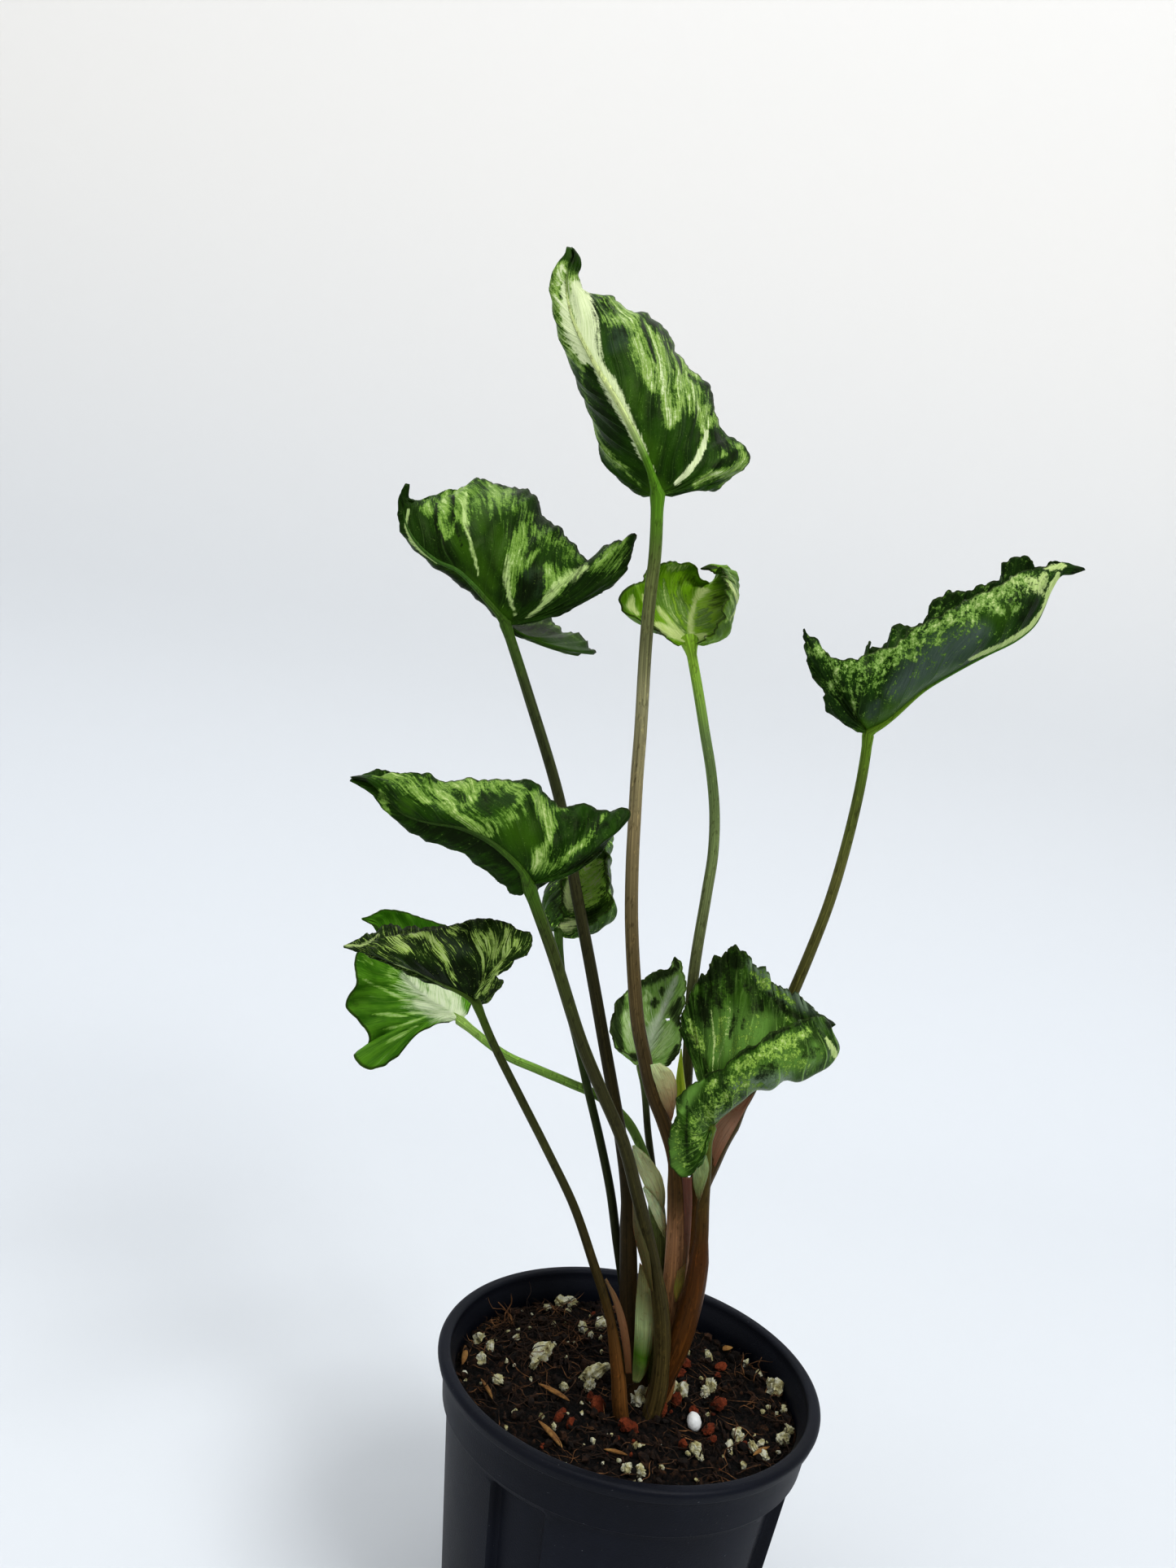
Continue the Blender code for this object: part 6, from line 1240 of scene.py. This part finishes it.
def cutDrains(piece):
    bm = bmesh.new()
    for i in range(pot["drains"]):
        turn = math.tau * (i + 0.5) / pot["drains"]
        place = Matrix.Translation((pot["drainRing"] * math.cos(turn), pot["drainRing"] * math.sin(turn), 0))
        bmesh.ops.create_cone(bm, cap_ends=True, segments=32, radius1=pot["drainRadius"],
                              radius2=pot["drainRadius"], depth=4 * pot["baseThick"], matrix=place)
    cutter = meshPiece("drainCutter", bm, smooth=False)
    cut = piece.modifiers.new("drains", "BOOLEAN")
    cut.object = cutter
    cut.solver = "EXACT"
    freeze(piece)
    bpy.data.objects.remove(cutter)


def freeze(piece):  # the modifiers' result becomes the mesh
    bpy.context.view_layer.update()
    graph = bpy.context.evaluated_depsgraph_get()
    mesh = bpy.data.meshes.new_from_object(piece.evaluated_get(graph))
    piece.modifiers.clear()
    piece.data = mesh


# the potting mix, with its split husks and standing fibres as pixels from and to, and a width in mm
mix = {"steps": 270, "swells": (1.5 * mm, 45.0), "crumbs": ((1.5 * mm, 330.0), (0.7 * mm, 800.0)),
       "bank": 2.5 * mm, "bankPlace": (-26 * mm, 20 * mm), "bankSpread": 14 * mm, "seed": 5,
       "slivers": [(567, 1660, 567, 1682, 1.7), (661, 1706, 699, 1724, 1.9), (661, 1752, 689, 1787, 1.9),
                   (888, 1662, 922, 1650, 2.2), (590, 1700, 604, 1726, 1.2), (640, 1788, 668, 1800, 1.3),
                   (925, 1792, 945, 1781, 1.3), (741, 1788, 770, 1794, 1.2)],
       "fibres": 520, "fibreBuild": (4 * mm, 15 * mm, 0.07 * mm, 0.21 * mm),
       "standing": [(914, 1690, 913, 1662), (926, 1700, 936, 1668), (640, 1640, 612, 1600),
                    (618, 1640, 628, 1590), (960, 1738, 980, 1722), (930, 1675, 905, 1690),
                    (612, 1728, 602, 1700), (905, 1812, 935, 1800)]}

# lumps lie where the photograph shows them, as pixel right, pixel down and size in mm; more are strewn about
lumps = {
    "mix_perlite": {
        "finish": "perlite", "strewn": 110, "sizes": (0.9, 2.7), "detail": 3, "flats": 6, "pits": 0.24,
        "seed": 1,
        "seen": [(664, 1674, 6.2), (655, 1684, 4.0), (730, 1692, 7.0), (724, 1704, 4.0), (785, 1724, 6.6),
                 (799, 1727, 4.4), (822, 1714, 4.4), (838, 1717, 4.4), (587, 1652, 3.6), (590, 1676, 3.6),
                 (601, 1662, 3.6), (612, 1700, 3.2), (957, 1712, 5.4), (966, 1704, 3.6), (905, 1762, 3.4),
                 (872, 1706, 4.2), (866, 1712, 3.2), (962, 1770, 3.6), (968, 1762, 3.0), (926, 1780, 3.2),
                 (908, 1768, 3.0), (855, 1786, 4.6), (858, 1794, 3.0), (770, 1808, 3.6), (787, 1810, 3.6),
                 (714, 1640, 4.0), (738, 1634, 4.0), (684, 1597, 4.2), (694, 1592, 3.6), (693, 1705, 3.0),
                 (672, 1609, 2.4), (870, 1668, 3.0), (895, 1778, 3.0), (940, 1790, 2.8)]},
    "mix_clay": {
        "finish": "clayBits", "strewn": 26, "sizes": (1.0, 2.4), "detail": 3, "flats": 7, "pits": 0.16,
        "seed": 2,
        "seen": [(735, 1726, 4.6), (728, 1718, 3.2), (880, 1730, 4.6), (886, 1724, 3.4), (852, 1740, 3.2),
                 (870, 1759, 3.4), (767, 1755, 4.0), (780, 1757, 2.6), (689, 1738, 2.8), (700, 1751, 2.8),
                 (875, 1770, 2.6), (839, 1779, 3.2), (830, 1727, 3.6), (814, 1737, 3.2), (886, 1681, 3.4),
                 (882, 1690, 2.6), (842, 1681, 3.4), (836, 1690, 3.0), (686, 1746, 3.0)]},
    "mix_bark": {
        "finish": "barkBits", "strewn": 300, "sizes": (1.4, 4.0), "detail": 2, "flats": 5, "pits": 0.22,
        "seed": 3, "seen": []},
    "mix_chips": {
        "finish": "barkBits", "strewn": 260, "sizes": (0.8, 1.9), "detail": 2, "flats": 5, "pits": 0.20,
        "seed": 4, "seen": [], "stretch": 2.6},
    "mix_pebble": {
        "finish": "pebble", "strewn": 0, "sizes": (1, 1), "detail": 4, "flats": 0, "pits": 0.02,
        "seed": 5, "seen": [(852, 1752, 4.4)]}}

# finishes of the bits: noise levels with their tones, pace of the noise, roughness and bump
bitFinishes = {
    "perlite": {"stops": [(0.30, (0.055, 0.030, 0.014)), (0.38, (0.30, 0.26, 0.12)),
                          (0.46, (0.54, 0.51, 0.27)),
                          (0.56, (0.68, 0.68, 0.54)), (0.75, (0.82, 0.83, 0.82))],
                "pace": 420, "rough": 0.85, "bump": 0.9},
    "clayBits": {"stops": [(0.32, (0.05, 0.012, 0.004)), (0.52, (0.20, 0.040, 0.012)),
                           (0.72, (0.33, 0.085, 0.028))], "pace": 330, "rough": 0.9, "bump": 0.9},
    "barkBits": {"stops": [(0.34, (0.003, 0.002, 0.0015)), (0.50, (0.014, 0.007, 0.004)),
                           (0.62, (0.055, 0.024, 0.011)), (0.78, (0.15, 0.070, 0.028))],
                 "pace": 190, "rough": 0.8, "bump": 0.9},
    "pebble": {"stops": [(0.3, (0.58, 0.60, 0.58)), (0.6, (0.78, 0.80, 0.80))], "pace": 160, "rough": 0.5,
               "bump": 0.15, "specular": 0.5},
    "coirFibre": {"stops": [(0.34, (0.010, 0.005, 0.003)), (0.50, (0.042, 0.020, 0.009)),
                            (0.60, (0.19, 0.088, 0.032)), (0.72, (0.48, 0.27, 0.12))],
                  "pace": 120, "rough": 0.7, "bump": 0.3},
    "huskSliver": {"stops": [(0.34, (0.085, 0.036, 0.010)), (0.5, (0.26, 0.13, 0.036)),
                             (0.7, (0.42, 0.26, 0.085))], "pace": 260, "rough": 0.6, "bump": 0.7}}
mixRadius = pot["collarRadius"] - pot["wall"] - 0.1 * mm


def onMix(px, py):  # the place on the mix's level that a pixel shows
    ray = spot(px, py, 0) - eye
    return eye + ray * (mixLevel - eye[2]) / ray[2]


def mixHeight(x, y, fine=1.0):  # height, how far it lies from a crack between crumbs (for the painted shade there), and a cell's own number for its tone
    relief = mix["swells"][0] * noise.noise(Vector((x, y, 0.0)) * mix["swells"][1])
    fromBank = math.hypot(x - mix["bankPlace"][0], y - mix["bankPlace"][1])
    relief += mix["bank"] * math.exp(-(fromBank / mix["bankSpread"]) ** 2)
    gap, cell = 1.0, 0.0
    if fine:
        bend = Vector([noise.noise(Vector((x, y, layer)) * 500) for layer in (0.3, 0.7)] + [0.0]) * 0.9
        for depth, pace in mix["crumbs"]:
            near, places = noise.voronoi(Vector((x, y, 0.0)) * pace + bend)
            crumb = min(1.0, (near[1] - near[0]) * 2.2)
            lift = 0.5 + 0.5 * noise.noise(places[0] * 7.3)
            relief += depth * (crumb ** 0.6 * (0.45 + 0.9 * lift) - 0.75)
            gap *= 0.35 + 0.65 * crumb
            cell += lift
    return mixLevel + relief, gap, cell / 2


def mixMaterial():
    material, tree, shader = startMaterial("dampMix")
    place = coordOf(tree, "Object")
    crumb = attributeOf(tree, "crumb")["Vector"]
    gap, cell, _ = addNode(tree, "ShaderNodeSeparateXYZ", {"Vector": crumb}).outputs
    grain = mathOf(tree, "MULTIPLY_ADD", noiseOf(tree, place, 1100, 5, 0.7), 0.8, -0.28)
    shade = plus(tree, times(tree, cell, 0.75), grain)
    colour = rampOf(tree, shade, [(0.22, (0.0025, 0.0018, 0.0014)), (0.45, (0.010, 0.0055, 0.0035)),
                                  (0.60, (0.034, 0.0155, 0.0075)), (0.72, (0.090, 0.040, 0.015)),
                                  (0.90, (0.16, 0.085, 0.036))])
    # painted shade: near black in the cracks between crumbs
    colour = blendColours(tree, threshold(tree, gap, 0.62, 0.22), colour, (0.0012, 0.0009, 0.0008))
    setShader(tree, shader, Base_Color=colour, Roughness=0.85, Specular_IOR_Level=0.25,
              Normal=bumpOf(tree, noiseOf(tree, scaled(tree, place, (1, 1.6, 1)), 2200, 5, 0.7), 0.9, 0.0007))
    return material


def makeMix():
    bm = bmesh.new()
    bm.loops.layers.uv.new("flat")
    crumb = bm.verts.layers.float_vector.new("crumb")
    verts, x, y = gridVerts(bm, mix["steps"], mix["steps"])
    u, v = 2 * x - 1, 2 * y - 1
    spread = mixRadius * np.stack([u * np.sqrt(1 - v * v / 2), v * np.sqrt(1 - u * u / 2)], axis=1)
    for vert, place in zip(verts, spread):
        height, gap, cell = mixHeight(*place)
        vert.co = (*place, height)
        vert[crumb] = (gap, cell, 0.0)
    inset, ledge = pot["wall"] + pot["recessDepth"], potTop - pot["recessDrop"]
    low = [(mixRadius, ledge + 2 * mm), (bodyRadius(80 * mm) - inset - 0.4 * mm, ledge - 0.2 * mm),
           (pot["baseRadius"] - inset - 2.6 * mm, pot["baseThick"] + 0.3 * mm)]
    rim = [e for e in bm.edges if e.is_boundary]
    for radius, height in low:
        made = bmesh.ops.extrude_edge_only(bm, edges=rim)["geom"]
        rim = [e for e in made if isinstance(e, bmesh.types.BMEdge) and e.is_boundary]
        for vert in [g for g in made if isinstance(g, bmesh.types.BMVert)]:
            flat = vert.co.xy.normalized() * radius
            vert.co = (flat.x, flat.y, height)
    bmesh.ops.contextual_create(bm, geom=rim)
    bmesh.ops.recalc_face_normals(bm, faces=bm.faces)
    finishPiece("mix_surface", bm, mixMaterial(), "potting_mix", "potting_mix")


def addLump(bm, place, size, draw, detail, flats, pits, stretch=1.0):  # rough lump with a few flat sides
    made = bmesh.ops.create_icosphere(bm, subdivisions=detail, radius=0.5)["verts"]
    sides = [Vector([draw.gauss(0, 1) for _ in range(3)]).normalized() for _ in range(flats)]
    cuts = [draw.uniform(0.24, 0.42) for _ in sides]
    start = Vector((draw.uniform(0, 9), draw.uniform(0, 9), 0))
    for vert in made:
        co = vert.co * draw.uniform(0.97, 1.03)
        for side, cut in zip(sides, cuts):
            over = co.dot(side) - cut
            if over > 0:
                co -= side * over * 0.9
        co += vert.co.normalized() * pits * noise.noise(vert.co * 6 + start)
        vert.co = co
    turn = Matrix.Rotation(draw.uniform(0, math.tau), 4, "Z")
    turn = turn @ Matrix.Rotation(draw.uniform(-0.5, 0.5) if stretch > 1 else draw.uniform(0, 3), 4, "Y")
    shape = Matrix.Diagonal((size * draw.uniform(1.0, 1.25) * stretch, size * draw.uniform(0.75, 1.0),
                             size * draw.uniform(0.65, 0.95), 1.0))
    bmesh.ops.transform(bm, matrix=Matrix.Translation(place) @ turn @ shape, verts=made)


def settle(x, y, lift, edge=2 * mm):  # a place on the mix, kept inside the wall
    flat = Vector((x, y))
    if flat.length > mixRadius - edge:
        flat = flat.normalized() * (mixRadius - edge)
    return Vector((flat.x, flat.y, mixHeight(flat.x, flat.y, 0)[0] + lift))


def scatterLumps(name, lump, material):
    draw = random.Random(mix["seed"] + lump["seed"])
    detail, flats, pits = lump["detail"], lump["flats"], lump["pits"]
    bm = bmesh.new()
    for px, py, size in lump["seen"]:
        x, y, _ = onMix(px, py)
        addLump(bm, settle(x, y, 0.25 * size * mm), size * mm, draw, detail, flats, pits)
    for _ in range(lump["strewn"]):
        reach, turn = mixRadius * math.sqrt(draw.random()), draw.uniform(0, math.tau)
        size = draw.uniform(*lump["sizes"]) * draw.uniform(0.7, 1.0) * mm
        place = settle(reach * math.cos(turn), reach * math.sin(turn), 0.12 * size)
        addLump(bm, place, size, draw, detail - 1, flats, pits, lump.get("stretch", 1.0))
    bmesh.ops.recalc_face_normals(bm, faces=bm.faces)
    piece = finishPiece(name, bm, material, "potting_mix", "potting_mix")
    piece.data.set_sharp_from_angle(angle=math.radians(38))


def strand(start, end, draw, sag):  # a wavy line between two places
    count = 5
    way = [start.lerp(end, i / (count - 1)) for i in range(count)]
    for i in range(1, count - 1):
        way[i] += Vector((draw.gauss(0, 1), draw.gauss(0, 1), draw.gauss(0, 0.6))) * sag
    return smoothCurve([tuple(p) for p in way], 9)


def makeFibres(material):
    draw = random.Random(mix["seed"] + 9)
    shortest, longest, thin, thick = mix["fibreBuild"]
    bm = bmesh.new()
    bm.loops.layers.uv.new("around")
    for _ in range(mix["fibres"]):
        reach, turn = mixRadius * math.sqrt(draw.random()), draw.uniform(0, math.tau)
        x, y = reach * math.cos(turn), reach * math.sin(turn)
        if draw.random() < 0.35:  # more of them on the fibrous bank at the back left
            x, y = (draw.gauss(mix["bankPlace"][k], mix["bankSpread"] * 0.7) for k in (0, 1))
        length, way = draw.uniform(shortest, longest), draw.uniform(0, math.tau)
        tilt = draw.uniform(0.2, 0.9) if draw.random() < 0.22 else draw.uniform(-0.03, 0.08)
        start = settle(x, y, draw.uniform(-0.2, 1.0) * mm)
        end = start + Vector((math.cos(way), math.sin(way), tilt)).normalized() * length
        end.z = max(settle(end.x, end.y, 0).z + draw.uniform(-0.4, 0.8) * mm, end.z if tilt > 0.1 else -1)
        if end.xy.length > mixRadius - 0.6 * mm:
            flat = end.xy.normalized() * (mixRadius - 0.6 * mm)
            end.x, end.y = flat.x, flat.y
        line = strand(start, end, draw, length * 0.07)
        width = draw.uniform(thin, thick)
        addTube(bm, line, [width * s for s in (0.5, 0.9, 1, 1, 1, 0.9, 0.8, 0.6, 0.3)], 4)
    for fromX, fromY, toX, toY in mix["standing"]:
        start = Vector(onMix(fromX, fromY))
        depth = (start - Vector(eye)).dot(Vector(viewAway))
        end = Vector(eye + (spot(toX, toY, 0) - eye) * (depth / rimDepth))
        if end.xy.length > mixRadius - 0.6 * mm:
            continue
        addTube(bm, strand(start, end, draw, 0.5 * mm), [0.22 * mm] * 8 + [0.1 * mm], 6)
    bmesh.ops.recalc_face_normals(bm, faces=bm.faces)
    finishPiece("mix_fibres", bm, material, "potting_mix", "potting_mix")


def makeSlivers(material):  # split husk pieces lying on the mix
    draw = random.Random(mix["seed"] + 11)
    bm = bmesh.new()
    for fromX, fromY, toX, toY, width in mix["slivers"]:
        ends = [settle(*onMix(px, py)[:2], 1.3 * mm, 1.2 * mm) for px, py in ((fromX, fromY), (toX, toY))]
        made = bmesh.ops.create_icosphere(bm, subdivisions=3, radius=0.5)["verts"]
        way = ends[1] - ends[0]
        bend = draw.uniform(0.08, 0.16)
        for vert in made:
            co = vert.co.copy()
            taper = 1 - 1.6 * co.x * co.x
            vert.co = (co.x, co.y * taper + bend * (1 - 4 * co.x * co.x) * 2, co.z * taper
                       + 0.08 * noise.noise(co * 7 + Vector((fromX, 0, 0))))
        shape = Matrix.Diagonal((way.length * 1.05, width * mm, 0.9 * mm, 1.0))
        turn = way.to_track_quat("X", "Z").to_matrix().to_4x4()
        place = Matrix.Translation((ends[0] + ends[1]) / 2)
        bmesh.ops.transform(bm, matrix=place @ turn @ shape, verts=made)
    bmesh.ops.recalc_face_normals(bm, faces=bm.faces)
    finishPiece("mix_slivers", bm, material, "potting_mix", "potting_mix")


def bitMaterial(name):
    finish = bitFinishes[name]
    material, tree, shader = startMaterial(name)
    place = coordOf(tree, "Object")
    tone = rampOf(tree, noiseOf(tree, place, finish["pace"], 6, 0.72), finish["stops"])
    bump = bumpOf(tree, noiseOf(tree, place, 2400, 4, 0.7), finish["bump"], 0.0006)
    setShader(tree, shader, Base_Color=tone, Roughness=finish["rough"], Normal=bump,
              Specular_IOR_Level=finish.get("specular", 0.3))
    return material


def makeBits():
    materials = {name: bitMaterial(name) for name in bitFinishes}
    for name, lump in lumps.items():
        scatterLumps(name, lump, materials[lump["finish"]])
    makeFibres(materials["coirFibre"])
    makeSlivers(materials["huskSliver"])


def main():
    for name, leaf in blades.items():
        curves = bladeCurves(leaf)
        makeBlade(name, leaf, curves, leafMaterial(name, leaf))
        makeStalk(name, stalks[name], curves, stalkMaterial(name, stalks[name]))
    print("blades and stalks made")
    makeWings()
    makeSpear()
    print("sheaths and spear made")
    makePot()
    print("pot made")
    makeMix()
    makeBits()
    print("potting mix made")


def addCamera():
    camera = bpy.data.objects.new("camera", bpy.data.cameras.new("camera"))
    camera.data.sensor_width = 36
    camera.data.lens = photoView["focal"] * 36 / photoView["height"]
    camera.data.clip_start = 0.01
    place = Matrix((viewRight, -viewDown, -viewAway)).transposed().to_4x4()
    place.translation = Vector(eye)
    camera.matrix_world = place
    bpy.context.scene.collection.objects.link(camera)
    bpy.context.scene.camera = camera


# painted light: the low and high tones make the backdrop darker and bluer low down, lighter and warmer higher
# up
floorBuild = {"half": 2.4, "sweepFrom": 0.40, "sweepRadius": 0.30, "fadeHeight": 0.75,
              "low": (0.664, 0.692, 0.724), "high": (0.762, 0.752, 0.732)}


def addFloor():
    start, bend = floorBuild["sweepFrom"], floorBuild["sweepRadius"]
    bm = bmesh.new()
    bmesh.ops.create_grid(bm, x_segments=40, y_segments=120, size=floorBuild["half"])
    for vert in bm.verts:
        back = vert.co.y - start
        if back > 0:  # the floor sweeps up into the backdrop
            turn = min(back / bend, math.pi / 2)
            vert.co.y = start + bend * math.sin(turn)
            vert.co.z = bend * (1 - math.cos(turn)) + max(0.0, back - bend * math.pi / 2)
    material, tree, shader = startMaterial("floor")
    # painted light: the floor and backdrop are painted darker and bluer low down and lighter and warmer
    # higher up
    height = addNode(tree, "ShaderNodeSeparateXYZ", {"Vector": coordOf(tree, "Object")}).outputs[2]
    fade = threshold(tree, height, 0.0, floorBuild["fadeHeight"])
    tone = blendColours(tree, fade, floorBuild["low"], floorBuild["high"])
    setShader(tree, shader, Base_Color=tone, Roughness=0.95)
    floor = meshPiece("floor", bm)
    floor.data.materials.append(material)


# each lamp's place, size in metres and power in watts
lamps = {"key": ((1.1, -1.4, 2.1), 1.0, 40.0), "fill": ((-1.8, -1.2, 1.0), 1.8, 8.0),
         "top": ((-0.4, -0.1, 2.3), 1.4, 20.0)}
studio = {"sky": (0.975, 0.985, 1.0, 1.0), "strength": 0.46, "gamma": 0.82, "aim": (0, 0, 0.2)}


def addLights():
    scene = bpy.context.scene
    world = bpy.data.worlds.new("studio")
    world.use_nodes = True
    sky = world.node_tree.nodes["Background"].inputs
    sky[0].default_value = studio["sky"]
    sky[1].default_value = studio["strength"]
    scene.world = world
    for name, (place, size, power) in lamps.items():
        data = bpy.data.lights.new(name, "AREA")
        data.size = size
        data.energy = power
        lamp = bpy.data.objects.new(name, data)
        lamp.location = place
        lamp.rotation_euler = (Vector(studio["aim"]) - Vector(place)).to_track_quat("-Z", "Y").to_euler()
        scene.collection.objects.link(lamp)
    scene.view_settings.view_transform = "Standard"
    scene.view_settings.gamma = studio["gamma"]


addCamera()
main()
addFloor()
addLights()
